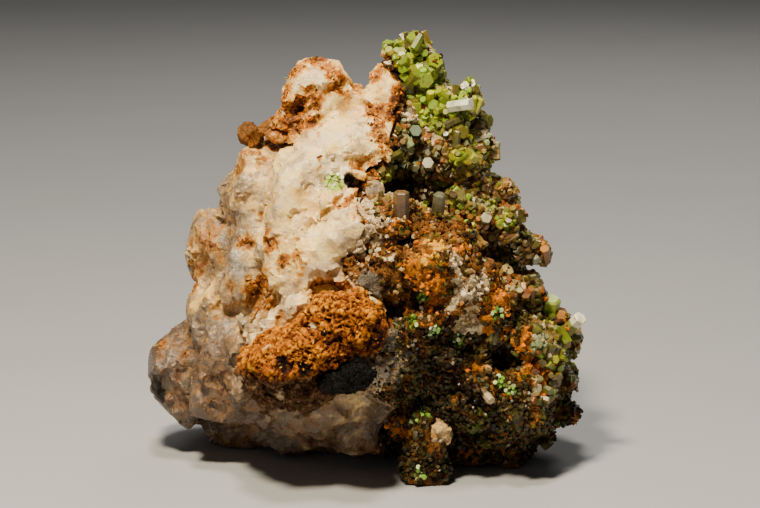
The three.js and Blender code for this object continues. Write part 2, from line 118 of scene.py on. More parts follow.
def side_of(axis):
    """A direction across each axis."""
    return unit(np.cross(np.where(np.abs(axis[..., 2:]) < 0.9, (0.0, 0.0, 1.0), (1.0, 0.0, 0.0)), axis))


# Meshes
def taken_from(bm):
    """The points and faces of a bmesh, which is freed."""
    points = np.array([v.co[:] for v in bm.verts])
    faces = [[v.index for v in f.verts] for f in bm.faces]
    bm.free()
    return points, faces


def node_mesh(name):
    """The vertices in millimetres and the triangles of a CAD node."""
    bm = bmesh.new()
    bm.from_mesh(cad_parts[name].data)
    bmesh.ops.remove_doubles(bm, verts=bm.verts, dist=1e-6)
    bmesh.ops.triangulate(bm, faces=bm.faces)
    points, faces = taken_from(bm)
    return points / MM, faces


def placed(name, data):
    """A new object in the scene."""
    obj = bpy.data.objects.new(name, data)
    bpy.context.scene.collection.objects.link(obj)
    return obj


def new_mesh(name, points, faces, smooth):
    mesh = bpy.data.meshes.new(name)
    mesh.from_pydata(points.tolist(), [], faces if isinstance(faces, list) else faces.tolist())
    mesh.polygons.foreach_set("use_smooth", [smooth] * len(mesh.polygons))
    return mesh


def new_piece(name, points, faces, material, replaced=(), smooth=True, sharp=None):
    """A piece of the specimen from points in millimetres. Edges over sharp degrees are crisp."""
    points[:, 2] = np.maximum(points[:, 2], FLOOR_CLEAR)
    mesh = new_mesh(name, points * MM, faces, smooth)
    if sharp:
        mesh.set_sharp_from_angle(angle=math.radians(sharp))
    mesh.materials.append(material)
    obj = placed(name, mesh)
    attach(obj, "root")
    if replaced:
        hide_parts(*replaced)
    return obj


def remeshed(points, faces, voxel):
    """An even skin of quads over a closed solid."""
    mesh = new_mesh("rough", points, faces, True)
    rough = placed("rough", mesh)
    remesh = rough.modifiers.new("remesh", "REMESH")
    remesh.mode = "VOXEL"
    remesh.voxel_size = voxel
    skin = bpy.data.meshes.new_from_object(rough.evaluated_get(bpy.context.evaluated_depsgraph_get()))
    out = np.empty(len(skin.vertices) * 3)
    skin.vertices.foreach_get("co", out)
    quads = np.empty(len(skin.loops), dtype=int)
    skin.loops.foreach_get("vertex_index", quads)
    bpy.data.objects.remove(rough)
    bpy.data.meshes.remove(mesh)
    bpy.data.meshes.remove(skin)
    return out.reshape(-1, 3), quads.reshape(-1, 4)


def give_numbers(obj, attributes):
    """Attributes that the material reads, each one number or a number for every point. One left out is 0."""
    for key, values in attributes.items():
        layer = obj.data.attributes.new(key, "FLOAT", "POINT")
        layer.data.foreach_set("value", np.broadcast_to(values, len(obj.data.vertices)).astype(np.float32))


class Skin:
    """A fine quad skin over a CAD node, relaxed for some rounds, with the helpers that shape it."""

    def __init__(self, node, voxel, rounds):
        self.voxel = voxel
        solid = node_mesh(node)
        self.solid = BVHTree.FromPolygons(solid[0].tolist(), solid[1])
        self.points, self.quads = remeshed(*solid, voxel)
        sides = np.concatenate([self.quads[:, [i, (i + 1) % 4]] for i in range(4)])
        self.edges = np.unique(np.sort(sides, axis=1), axis=0)
        self.degree = np.bincount(self.edges.ravel(), minlength=len(self.points))[:, None]
        self.points = self.relaxed(rounds)

    def averaged(self, values):
        """The mean of each point's neighbours."""
        a, b = self.edges.T
        total = np.empty_like(values)
        for k in range(values.shape[1]):
            total[:, k] = np.bincount(a, values[b, k], len(values))
            total[:, k] += np.bincount(b, values[a, k], len(values))
        return total / self.degree

    def relaxed(self, rounds, share=0.5):
        points = self.points.copy()
        for _ in range(rounds):
            points += share * (self.averaged(points) - points)
        return points

    def normals(self, points=None):
        points = self.points if points is None else points
        a, b, c, d = (points[self.quads[:, i]] for i in range(4))
        face = np.cross(c - a, d - b)
        out = np.zeros_like(points)
        for i in range(4):
            for k in range(3):
                out[:, k] += np.bincount(self.quads[:, i], face[:, k], len(out))
        return unit(out)

    def push(self, amount):
        self.points += self.normals() * np.asarray(amount)[..., None]

    def chisel(self, spacing, lean, scoop, limit):
        """Breaks the skin into scooped faces: a point drops to the lowest plane of the seeds around it."""
        smooth = self.normals(self.relaxed(round(spacing / self.voxel)))
        count = int(len(self.points) * (self.voxel / spacing) ** 2)
        seeds = rng.choice(len(self.points), count, replace=False)
        tree = KDTree(count)
        for i, seed in enumerate(self.points[seeds].tolist()):
            tree.insert(seed, i)
        tree.balance()
        close = np.array([[i for _, i, _ in tree.find_n(at, 4)] for at in self.points.tolist()])
        facing = unit(smooth[seeds] + rng.normal(0, lean, (count, 3)))[close]
        away = self.points[seeds][close] - self.points[:, None]
        slope = np.maximum(np.einsum("nk,njk->nj", smooth, facing), 0.4)
        drop = np.einsum("njk,njk->nj", away, facing) / slope + scoop / spacing * (away**2).sum(2)
        depth = np.clip(drop.min(1), -limit, limit)
        self.points += smooth * (depth - depth.mean())[:, None]

    def standing_out(self, point):
        """How far a point is outside the CAD surface, or 0, and the way back to it."""
        spot, normal, _, away = self.solid.find_nearest(point)
        outward = Vector(point) - spot
        return (away if outward.dot(normal) > 0 else 0.0), -outward.normalized()

    def hold(self, reach):
        """Draws in whatever stands out from the CAD surface by more than reach."""
        for i, point in enumerate(self.points.tolist()):
            away, back = self.standing_out(point)
            if away > reach:
                self.points[i] += (away - reach) * np.array(back)

    def gouge(self, mouth, inward, radius, depth):
        """Sinks a bowl into the rock from its mouth; what bridges the mouth goes down with it."""
        inward = unit(np.array(inward))
        offset = self.points - mouth
        along = offset @ inward
        across = np.linalg.norm(offset - along[:, None] * inward, axis=1) / radius
        across = across + 0.25 * field(self.points, 0.9, 2, 71)
        bowl = depth * np.sqrt(np.clip(1 - across**2, 0, 1))
        inside = (across < 1) & (along > -2.0) & (along < bowl)
        self.points += np.where(inside, bowl - along, 0)[:, None] * inward

    def hollow(self, rounds):
        """How far each point lies under its smoothed neighbourhood, in millimetres."""
        return ((self.relaxed(rounds, 0.6) - self.points) * self.normals()).sum(1)

    def finish(self, name, material, slot, node, sharp=None, **attributes):
        """Makes the piece, with the numbers that its material reads."""
        obj = new_piece(name, self.points, self.quads, material, [node], sharp=sharp)
        give_numbers(obj, attributes)
        self.open_normals = self.normals(self.relaxed(12))


# Materials
class Nodes:
    """A small builder for procedural materials. Coordinates are millimetres in the object's own space."""

    def __init__(self, name):
        self.material = bpy.data.materials.new(name)
        self.material.use_nodes = True
        self.tree = self.material.node_tree
        self.shader = self.tree.nodes["Principled BSDF"]
        self.coords = self.mapped(self.node("TexCoord", {}).outputs["Object"], (1 / MM,) * 3)

    def put(self, value, socket):
        if hasattr(value, "is_output"):
            self.tree.links.new(value, socket)
        elif isinstance(value, tuple) and len(value) == 3 and len(socket.default_value) == 4:
            socket.default_value = (*value, 1.0)
        else:
            socket.default_value = value

    def node(self, kind, settings, *values, **named):
        """A new node with its settings, and with values or sockets for its inputs, in order or by name."""
        node = self.tree.nodes.new("ShaderNode" + kind)
        for key, value in settings.items():
            setattr(node, key, value)
        for key, value in [*enumerate(values), *named.items()]:
            self.put(value, node.inputs[key])
        return node

    def shade(self, **values):
        for key, value in values.items():
            self.put(value, self.shader.inputs[key.replace("_", " ")])

    def mapped(self, source, scale, turn=(0, 0, 0)):
        return self.node("Mapping", {}, Vector=source, Scale=scale, Rotation=turn).outputs["Vector"]

    def noise(self, size, detail=4.0, rough=0.6, warp=0.0, coords=None, output="Fac"):
        named = {"Scale": 1 / size, "Detail": detail, "Roughness": rough, "Distortion": warp}
        return self.node("TexNoise", {}, Vector=coords or self.coords, **named).outputs[output]

    def grains(self, size, output="Distance"):
        return self.node("TexVoronoi", {}, Vector=self.coords, Scale=1 / size).outputs[output]

    def warped(self, size, reach):
        """The coordinates moved about by noise of that size."""
        noise = self.noise(size, 3.0, output="Color")
        node = self.node("VectorMath", {"operation": "MULTIPLY_ADD"}, noise, (2 * reach,) * 3, self.coords)
        return node.outputs["Vector"]

    def cracks(self, size, width, coords):
        """1 on the borders of cells of that size, 0 a share of width of a cell away from them."""
        node = self.node("TexVoronoi", {"feature": "DISTANCE_TO_EDGE"}, Vector=coords, Scale=1 / size)
        return self.range(node.outputs["Distance"], 0.0, width, 1.0, 0.0)

    def attribute(self, name, output="Fac"):
        return self.node("Attribute", {"attribute_name": name}).outputs[output]

    def range(self, value, low, high, to_low=0.0, to_high=1.0):
        named = {"Value": value, "From Min": low, "From Max": high, "To Min": to_low, "To Max": to_high}
        return self.node("MapRange", {"interpolation_type": "SMOOTHSTEP"}, **named).outputs["Result"]

    def math(self, kind, a, b):
        return self.node("Math", {"operation": kind}, a, b).outputs[0]

    def total(self, *terms):
        """The sum of (socket, share) pairs. A name in place of a socket is an attribute of the piece."""
        out = 0.0
        for value, share in terms:
            value = self.attribute(value) if isinstance(value, str) else value
            out = self.math("ADD", self.math("MULTIPLY", value, share), out)
        return out

    def mix(self, factor, a, b):
        """A mix of two colours, which are the node's inputs 6 and 7 and its output 2."""
        node = self.node("Mix", {"data_type": "RGBA"}, factor)
        self.put(a, node.inputs[6])
        self.put(b, node.inputs[7])
        return node.outputs[2]

    def blot(self, base, color, low, high, *terms):
        """The base, and over it the colour where the total of the terms goes from low to high."""
        return self.mix(self.range(self.total(*terms), low, high), base, color)

    def ramp(self, value, *stops):
        """A colour ramp of (position, colour) stops."""
        node = self.node("ValToRGB", {}, value)
        elements = node.color_ramp.elements
        while len(elements) < len(stops):
            elements.new(0.5)
        for element, (position, color) in zip(elements, stops):
            element.position = position
            element.color = (*color, 1.0)
        return node.outputs["Color"]

    def bump(self, *layers):
        """layers: (height, strength, distance in millimetres), coarse to fine."""
        normal = None
        for height, strength, distance in layers:
            node = self.node("Bump", {}, Strength=strength, Distance=distance * MM, Height=height)
            if normal:
                self.put(normal, node.inputs["Normal"])
            normal = node.outputs["Normal"]
        self.shade(Normal=normal)


def quartz_material():
    """Milky quartz, cream with age and darker where shade is painted, with iron stains from yellow to nearly
    black.
    """
    n = Nodes("milky_quartz")
    cloud, fine, dust = n.noise(3.0, 5, 0.62, 0.6), n.noise(0.8, 6, 0.7, 0.6), n.noise(0.22, 3, 0.6)
    patch, speck = n.range(cloud, 0.36, 0.64), n.range(fine, 0.36, 0.64)
    veil = n.range(n.noise(4.5, 4, 0.55, 1.0), 0.42, 0.58)
    crack = n.math("MULTIPLY", n.cracks(5.0, 0.05, n.warped(1.6, 1.6)), n.range(n.noise(4.0, 2), 0.42, 0.6))
    seam = n.math("MULTIPLY", n.cracks(1.7, 0.07, n.warped(0.7, 0.6)), patch)
    aged = n.total(("aged", 1.0), (patch, 0.36), (speck, 0.26), (dust, 0.3), (veil, 0.16), (seam, 0.12))
    clean = n.ramp(
        aged,
        (0.0, (0.98, 0.75, 0.32)), (0.22, (0.90, 0.61, 0.23)), (0.44, (0.62, 0.42, 0.19)),
        (0.70, (0.28, 0.18, 0.095)), (1.0, (0.11, 0.065, 0.035)),
    )
    cloudy = n.ramp(aged, (0.1, (0.72, 0.61, 0.46)), (0.5, (0.36, 0.29, 0.22)), (0.9, (0.13, 0.10, 0.08)))
    clean = n.mix(n.math("MULTIPLY", veil, 0.6), clean, cloudy)
    gilt = n.range(n.total(("gold", 1.0), (fine, 0.3)), 0.25, 0.8, 0.0, 0.75)
    clean = n.mix(gilt, clean, (0.92, 0.58, 0.16))
    glass = n.mix(n.range(dust, 0.4, 0.6), (0.26, 0.22, 0.18), (0.44, 0.40, 0.34))
    clean = n.blot(clean, glass, 0.5, 0.95, ("grey", 1.0), (speck, 0.25))
    iron = n.total(("rust", 1.0), (patch, 0.26), (speck, 0.40), (dust, 0.3), (crack, 0.25))
    stained = n.ramp(
        n.math("SUBTRACT", iron, 0.72),
        (0.02, (0.76, 0.46, 0.10)), (0.16, (0.62, 0.27, 0.02)), (0.36, (0.42, 0.135, 0.005)),
        (0.60, (0.19, 0.048, 0.005)), (0.92, (0.035, 0.012, 0.005)),
    )
    # Browner, darker stains, used towards the bottom and the left: partly the stains' own colour, partly
    # painted shade.
    umber = n.ramp(
        n.math("SUBTRACT", iron, 0.66),
        (0.0, (0.36, 0.22, 0.11)), (0.20, (0.24, 0.12, 0.045)), (0.50, (0.11, 0.05, 0.020)),
        (0.80, (0.03, 0.014, 0.008)),
    )
    stained = n.mix(n.attribute("umber"), stained, umber)
    base = n.mix(n.range(iron, 0.64, 0.86), clean, stained)
    # Nearly black on the dark spots: mostly painted shade in holes and creases, and a few specks.
    black = n.range(n.total(("dark", 1.0), (speck, 0.2)), 0.6, 0.85)
    base = n.mix(black, base, (0.014, 0.009, 0.007))
    dull = n.total((fine, 0.5), (iron, 0.4), (black, 1.0))
    n.shade(Base_Color=base, Roughness=n.range(dull, 0.3, 0.9, 0.20, 0.85))
    n.shade(IOR=1.54, Subsurface_Weight=0.12, Subsurface_Scale=0.5 * MM, Subsurface_Radius=(1.0, 0.75, 0.5))
    streaks = n.noise(0.9, 4, 0.6, 0.3, n.mapped(n.coords, (1.5, 1.5, 0.25), (0.1, 0.2, 0)))
    n.bump(
        (n.noise(1.3, 6, 0.65, 0.4), 0.38, 0.6), (streaks, 0.3, 0.3), (crack, -0.4, 0.25),
        (seam, -0.4, 0.15), (n.grains(0.4), 0.3, 0.2), (dust, 0.35, 0.08),
    )
    return n.material


def gossan_material(name="gossan"):
    """Earthy iron oxides: dark brown with orange, cream and yellow patches."""
    n = Nodes(name)
    patch, fine, dust = n.noise(1.8, 5, 0.68, 0.6), n.noise(0.5, 5, 0.72, 0.5), n.noise(0.17, 3, 0.6)
    speck = n.grains(0.33, "Color")
    base = n.ramp(
        n.total((fine, 0.55), (patch, 0.25), (dust, 0.35)),
        (0.30, (0.018, 0.010, 0.008)), (0.48, (0.085, 0.033, 0.009)), (0.62, (0.24, 0.10, 0.024)),
        (0.80, (0.46, 0.26, 0.09)),
    )
    base = n.blot(base, (0.36, 0.12, 0.02), 0.56, 0.66, (patch, 0.8), (speck, 0.25))
    stony = n.mix(n.range(dust, 0.35, 0.65), (0.09, 0.07, 0.05), (0.27, 0.225, 0.17))
    creamy = n.mix(dust, (0.58, 0.39, 0.20), (0.90, 0.73, 0.46))
    rusty = n.mix(n.range(dust, 0.3, 0.7), (0.32, 0.085, 0.004), (0.70, 0.25, 0.006))
    base = n.blot(base, stony, 0.55, 0.9, ("grey", 1.0), (fine, 0.5))
    base = n.blot(base, creamy, 0.95, 1.2, ("pale", 1.0), (fine, 0.9), (speck, 0.2))
    base = n.blot(base, rusty, 0.85, 1.15, ("orange", 1.0), (fine, 0.9), (speck, 0.2))
    base = n.blot(base, (0.90, 0.50, 0.05), 0.85, 1.15, ("yellow", 1.0), (fine, 0.6))
    base = n.blot(base, (0.016, 0.010, 0.008), 0.65, 1.05, ("shade", 1.0), (fine, 0.5))
    n.shade(Base_Color=base, Roughness=n.range(fine, 0.3, 0.7, 0.6, 0.95), IOR=1.3, Specular_IOR_Level=0.3)
    n.bump((n.noise(0.7, 6, 0.72), 0.9, 0.6), (n.grains(0.32), 0.6, 0.22), (dust, 0.5, 0.1))
    return n.material


def limonite_material():
    """Spongy ochre: bright on the ribs, red-brown in the pits, grey-brown on the keel; painted shade darkens
    hollows, holes and creases, and partly the keel.
    """
    n = Nodes("limonite")
    patch, fine, dust = n.noise(1.6, 5, 0.65, 0.5), n.noise(0.4, 5, 0.72, 0.5), n.noise(0.14, 3, 0.6)
    broad = n.range(n.noise(2.6, 3, 0.6, 1.0), 0.38, 0.62)
    height = n.total(("rib", 0.75), (fine, 0.6), (patch, 0.3), (dust, 0.3), (broad, 0.16))
    base = n.ramp(
        n.math("SUBTRACT", height, 0.70),
        (0.12, (0.014, 0.005, 0.003)), (0.36, (0.085, 0.018, 0.004)), (0.58, (0.28, 0.070, 0.004)),
        (0.76, (0.56, 0.165, 0.002)), (0.92, (0.86, 0.36, 0.006)), (1.1, (0.92, 0.56, 0.10)),
    )
    earth = n.ramp(
        n.total((fine, 0.6), (patch, 0.4)),
        (0.38, (0.014, 0.006, 0.003)), (0.49, (0.075, 0.028, 0.009)), (0.56, (0.20, 0.095, 0.035)),
        (0.64, (0.46, 0.30, 0.16)),
    )
    base = n.blot(base, earth, 0.75, 1.25, ("shade", 1.0), (patch, 0.9))
    base = n.blot(base, (0.86, 0.66, 0.38), 0.9, 1.2, ("pale", 1.0), (fine, 0.7))
    n.shade(Base_Color=base, Roughness=n.range(fine, 0.3, 0.7, 0.75, 0.98), IOR=1.3)
    n.bump((n.noise(0.5, 6, 0.75), 0.9, 0.45), (n.grains(0.26), 0.6, 0.2), (dust, 0.6, 0.1))
    return n.material


def goethite_material():
    n = Nodes("goethite")
    fine, dust = n.noise(0.4, 5, 0.7), n.noise(0.15, 3, 0.6)
    base = n.mix(n.range(fine, 0.5, 0.75), (0.001, 0.001, 0.001), (0.007, 0.005, 0.004))
    n.shade(Base_Color=base, Roughness=n.range(dust, 0.3, 0.7, 0.25, 0.75), IOR=1.25)
    ribs = n.noise(0.4, 4, 0.6, 0.2, n.mapped(n.coords, (1.0, 1.0, 3.0), (0.5, 0.4, 0)))
    n.bump((ribs, 0.8, 0.35), (n.grains(0.22), 0.8, 0.25))
    return n.material


def pyromorphite_material(name="pyromorphite", base=None, shine=0.5):
    """Resinous prisms with brown coats. The colour is the piece's own, or base for a CAD node."""
    n = Nodes(name)
    cloud, fine, dust = n.noise(0.9, 4, 0.6, 0.3), n.noise(0.35, 4, 0.65), n.noise(0.12, 2, 0.6)
    base = base(n) if base else n.attribute("tone", "Color")
    base = n.mix(n.range(cloud, 0.40, 0.75, 0.0, 0.5), base, (0.24, 0.17, 0.035))
    coat = n.range(n.total((cloud, 0.5), (fine, 0.6)), 0.62, 0.72, 0.0, 0.8)
    base = n.mix(coat, base, (0.20, 0.085, 0.025))
    n.shade(Base_Color=base, Roughness=n.range(n.total((fine, 0.6), (dust, 0.4)), 0.35, 0.65, 0.2, 0.55))
    n.shade(IOR=1.65, Specular_IOR_Level=shine)
    n.shade(Subsurface_Weight=0.2, Subsurface_Scale=0.4 * MM, Subsurface_Radius=(0.6, 1.0, 0.2))
    n.bump((fine, 0.3, 0.07), (dust, 0.3, 0.03))
    return n.material


def crumb_material(name):
    n = Nodes(name)
    fine, dust = n.noise(0.3, 4, 0.7), n.noise(0.1, 2, 0.6)
    base = n.mix(n.range(fine, 0.45, 0.7, 0.0, 0.65), n.attribute("tone", "Color"), (0.06, 0.026, 0.012))
    n.shade(Base_Color=base, Roughness=n.range(dust, 0.3, 0.7, 0.5, 0.95), IOR=1.3, Specular_IOR_Level=0.2)
    n.bump((fine, 0.6, 0.1), (dust, 0.4, 0.04))
    return n.material


# Quartz: spots on its surface are x, y, z, radius and strength
QUARTZ_RUST = [
    # The knob's hollow, and its rims
    (-7.1, -3.3, 47.1, 2, 1), (-9.4, -2.2, 46.4, 2.2, 1), (-8.1, -2, 48, 1.9, 0.9),
    (-9.9, -2.5, 49.6, 1.8, 0.75), (-8.4, -1.7, 52.6, 1.6, 0.75), (-5.6, -0.9, 53.4, 1.8, 0.9),
    (-6.6, -3.4, 50, 1.2, 0.7), (-3.5, -2.5, 52.2, 1.5, 0.75), (-2.6, -1.9, 50.3, 1.4, 0.8),
    (-4.9, -3.2, 50.5, 1.4, 0.45),
    # Under the knob
    (-10.6, -1.8, 44.6, 1.5, 0.9), (-11.6, 1.4, 42.9, 2.2, 1), (-13.4, -2.6, 42, 1.2, 0.8),
    (-6.5, -4.8, 44.8, 0.7, 0.7), (-8.1, -3.1, 45.3, 0.8, 0.85), (-11.8, -2.1, 45.6, 1.3, 0.9),
    # The notch and the horn
    (-1.3, 0.8, 48.4, 1.5, 0.9), (0.4, -1.4, 50, 0.8, 0.7), (1.1, -0.1, 51.6, 1, 0.8),
    (2.2, 0.4, 53.2, 1.2, 0.8), (2.7, 1.1, 52.5, 1, 0.8), (4.2, 0.3, 50.8, 1.1, 0.8),
    (3.7, -1.7, 51, 0.6, 0.9), (4.3, -2.2, 49.8, 0.8, 1), (4.3, -2.4, 48.5, 0.9, 1),
    # Beside the join
    (4, -2.5, 47.2, 1, 1), (3.5, -2.6, 46.2, 1, 0.9), (2.9, -3.6, 45.5, 0.9, 0.8),
    (1.4, -2.9, 46.8, 1.3, 1), (1.9, -4.4, 45.7, 1.4, 1), (1.7, -5.3, 44.1, 1.4, 0.95),
    (2.4, -5.7, 42.8, 1.3, 0.85), (-0.1, -7.1, 40.7, 1.5, 0.75),
    # Cracks and specks on the white face
    (-5.5, -8.8, 42, 0.4, 0.9), (-5.1, -9.1, 40.8, 0.4, 0.8), (-7.9, -9.9, 40.6, 0.6, 0.5),
    (-9.1, -8.3, 41.2, 0.5, 0.5), (-2.2, -11.4, 37.3, 0.8, 0.85), (-3.1, -11.7, 36.7, 0.7, 0.7),
    # The middle of the face, and above the ledge
    (-15.7, -6.2, 31.2, 1.1, 0.8), (-14.9, -6.5, 31.5, 0.9, 0.7), (-14.3, -6.7, 30, 1, 0.6),
    (-12.8, -9.2, 32.3, 1.4, 0.7), (-12.8, -9.4, 31.6, 1.1, 0.8), (-12, -10.6, 31.3, 1.3, 0.7),
    (-11.7, -10.7, 30.9, 1, 0.8), (-10.3, -11.7, 29.1, 1.1, 0.95), (-8.9, -12.2, 30, 0.9, 0.6),
    (-7.6, -13.8, 29.7, 1.4, 0.35), (-8.1, -13.3, 28, 1.3, 0.4), (-6.4, -11.6, 24.6, 1.3, 1),
    (-5.2, -12.2, 25.8, 1.3, 0.9), (-3, -12.6, 26.4, 1.3, 0.9),
    # The left shoulder
    (-20.2, -2.4, 29.6, 1.5, 0.6), (-20.2, -2.4, 29.5, 1.1, 0.75), (-21.4, -1.1, 31.2, 1.1, 0.5),
    (-22.5, -0.2, 29.7, 1.3, 0.5),
    # The trough, and the column left of it
    (-13.5, -6.8, 25, 1.8, 0.85), (-12.5, -6.6, 23.7, 1.6, 0.85), (-13.9, -6.3, 22.8, 1.3, 0.55),
    (-13.6, -13.4, 20.8, 0.8, 0.5), (-17, -7, 24.8, 0.9, 0.55), (-16.9, -6.6, 22.6, 0.8, 0.55),
    (-20.1, -5.9, 21.1, 1.5, 0.4), (-20.4, -5.7, 22.9, 1.2, 0.35), (-22.4, -0.9, 23.4, 1.3, 0.65),
    # The left lobe
    (-23.1, -1.1, 20.8, 1.3, 0.6), (-26.7, -0.7, 15.8, 1.7, 0.7), (-23.3, -3.7, 15.2, 1.7, 0.65),
    (-20, -8.6, 15.9, 1.4, 0.5), (-19.4, -7.6, 10.3, 1.2, 0.6), (-24.4, -3, 8.6, 1.8, 0.6),
    # Near the ground
    (-16.9, 3.8, 1.1, 2.4, 0.55), (-8.2, -8.4, 6.2, 1.9, 0.45), (-7.4, -3.5, 2.8, 1.9, 0.6),
    (-0.2, -6.8, 3, 1.5, 0.6), (2.2, -5.9, 3.3, 1.7, 0.8), (-20.5, -2, 4.6, 1.6, 0.5),
]
QUARTZ_GREY = [
    (2.2, -15.2, 16.4, 2.6, 0.6), (2.8, -15.5, 19.4, 2, 0.6), (-16.6, -6.9, 29.3, 1.8, 0.9),
    (-16.1, -7.1, 27.5, 1.7, 0.8), (-4.9, -3.2, 50.6, 1.3, 0.6), (-24.2, -3.3, 11.5, 2, 0.6),
    (-1.7, -8.9, 7.7, 3.6, 0.42), (-5.6, -9.3, 8.9, 3.6, 0.42), (0.9, -10.4, 11.5, 2.8, 0.5),
    (-16.3, -6.4, 19.8, 1.8, 0.7), (-10, 19, 24, 6, 0.4), (-17.4, -6.6, 35, 1.4, 0.4),
    (1.6, -9, 37.4, 1.6, 0.6),
]
# Nearly black spots: painted shade in the holes, the creases and the recess above the ledge, and a few real
# black specks.
QUARTZ_SHADE_AND_SPECKS = [
    (-8.4, -1.6, 47.4, 0.9, 1), (-1.6, -7.6, 39, 1.5, 1), (-1.7, -8.6, 39.2, 1.2, 1),
    (-14.9, -4.4, 33.7, 0.55, 1), (-19.3, -1.5, 31.1, 0.5, 0.6), (-19, -2.3, 28.8, 0.5, 0.6),
    (-15, -6.9, 28.2, 0.5, 0.6), (-28.1, -1.4, 9.9, 1.5, 1), (-27.3, -1.3, 8.8, 1.4, 0.9),
    (-6.2, -11.8, 24.4, 0.9, 0.9), (-4.3, -12.4, 26, 0.8, 0.8),
]
QUARTZ_HOLES = [  # mouth, direction into the rock, radius and depth
    ((-8.4, -2.6, 47.5), (0.0, 1.0, 0.0), 1.0, 1.4), ((-1.8, -10.0, 39.4), (0.05, 1.0, -0.15), 1.15, 2.6),
    ((-6.6, -3.4, 49.9), (0.0, 1.0, 0.2), 0.9, 0.5),
]
QUARTZ_SET_BACK = [  # where the skin would stand out past the photo's outline
    (-17.7, -2.5, 39.8, 2.6, 1), (-19, -2, 37.4, 2.2, 1), (-19.7, -2, 35, 2, 0.9),
    (-10, -0.5, 51, 2.6, 1.2), (-23.2, -1.5, 27, 2, 0.8), (-26.2, -2, 18, 2.2, 0.7),
]
QUARTZ_WHITE = [
    (-2.3, -5.5, 45.1, 3.6, 1), (-7.9, -10.5, 38.3, 3.4, 0.8), (-5.3, -13, 33.6, 3.2, 1),
    (-9.1, -11.1, 35.8, 2.8, 0.8), (-3, -8.4, 41.6, 3.2, 1), (-11.9, -14, 22.3, 1.5, 0.8),
    (-9.8, -14.4, 22.1, 1.2, 0.8), (-17.1, -11.8, 12.4, 1.6, 0.8), (-6.2, -3, 50.8, 1.6, 0.6),
    (-13.2, -14.2, 20.5, 1.2, 0.6), (-0.9, -3.2, 48, 2.2, 0.9), (-24, -1.4, 17.6, 1.2, 0.6),
    (0.2, -10.1, 10.8, 2, 0.9), (2.2, -9.8, 9.6, 1.8, 0.9), (0.9, -8.1, 7.5, 1.8, 0.7),
]
GRANULAR = [(2.2, -15.4, 16.2, 3, 1), (2.8, -15.5, 19.4, 2, 1), (0.5, -12.8, 12.5, 2.6, 0.9)]
SUGARY = GRANULAR + [
    (-13.2, -6.7, 24.4, 3, 1), (-12.6, -9.6, 31.6, 2, 0.9), (-20, -5.9, 22, 2.4, 0.6),
    (-8, -13.4, 28.8, 2.4, 0.9), (-0.2, -7.4, 41, 2.2, 1), (-20.6, -7, 14, 3, 0.7), (-5, -8, 5, 5, 0.5),
    (-15, -5, 36.5, 2.6, 0.7), (0.4, -12.2, 35.2, 2.4, 0.8),
]


def shape_quartz():
    """Fracture faces of three sizes, upright ribs on the left and sugary patches."""
    skin = Skin("quartz_matrix", 0.32, 2)
    skin.chisel(5.0, lean=0.18, scoop=0.04, limit=0.7)
    skin.chisel(2.4, lean=0.22, scoop=0.05, limit=0.4)
    skin.chisel(1.1, lean=0.20, scoop=0.05, limit=0.18)
    points, strays = skin.points, strayed(skin.points)
    left = np.clip((-11 - points[:, 0]) / 4, 0, 1)
    ribs = field(points * (1, 1, 0.2), 1.1, 3, 5)
    grain, _, _ = cells(points, 0.62, 6)
    sugar = near(strays, SUGARY)
    skin.push(0.10 * field(points, 0.9, 3, 7) + 0.20 * left * ribs + 0.30 * sugar * (0.5 - grain))
    skin.push(-0.1 - 0.8 * near(skin.points, QUARTZ_SET_BACK))
    skin.hold(0.3)
    for hole in QUARTZ_HOLES:
        skin.gouge(*hole)
    return skin


quartz = shape_quartz()
points, strays = quartz.points, strayed(quartz.points)
hollow = np.clip(quartz.hollow(16) / 0.25, -1, 2)
left = np.clip((-9 - points[:, 0]) / 9, 0, 1)
low = np.clip((21 - points[:, 2]) / 14, 0, 1)
behind = np.clip(points[:, 1] / 6, 0, 1)
white = near(strays, QUARTZ_WHITE)
# Darker with age, and with painted shade towards the bottom, the left and in hollows, partly the quartz's own
# browner colour there; somewhat darker towards the back and lighter on the white spots.
aged = -0.30 + 0.45 * left + 0.64 * low + 0.16 * left * low + 0.12 * behind + 0.10 * hollow - 0.24 * white
rust = near(strays, QUARTZ_RUST) * (0.75 + 0.45 * field(points, 1.0, 3, 11))
wash = np.clip(field(points, 4.5, 4, 12) * 1.3 - 0.25 + 0.18 * left + 0.30 * behind - 0.1 * low, 0, 1)
rust = np.maximum(rust, 0.42 * wash) + 0.16 * np.clip(hollow, 0, 1) - 0.20 * white
gold = np.clip(1.3 * field(points, 2.6, 4, 14) - 0.25, 0, 1) * (1 - low)
quartz_look = quartz_material()
quartz.finish(
    "quartz", quartz_look, "quartz", "quartz_matrix", sharp=30,
    aged=aged, rust=rust, gold=gold, grey=near(strays, QUARTZ_GREY), dark=near(strays, QUARTZ_SHADE_AND_SPECKS),
    # Stains turn browner and darker towards the bottom and the left, partly their own colour and partly
    # painted shade.
    umber=np.clip(0.55 * left + 1.1 * low, 0, 1),
)

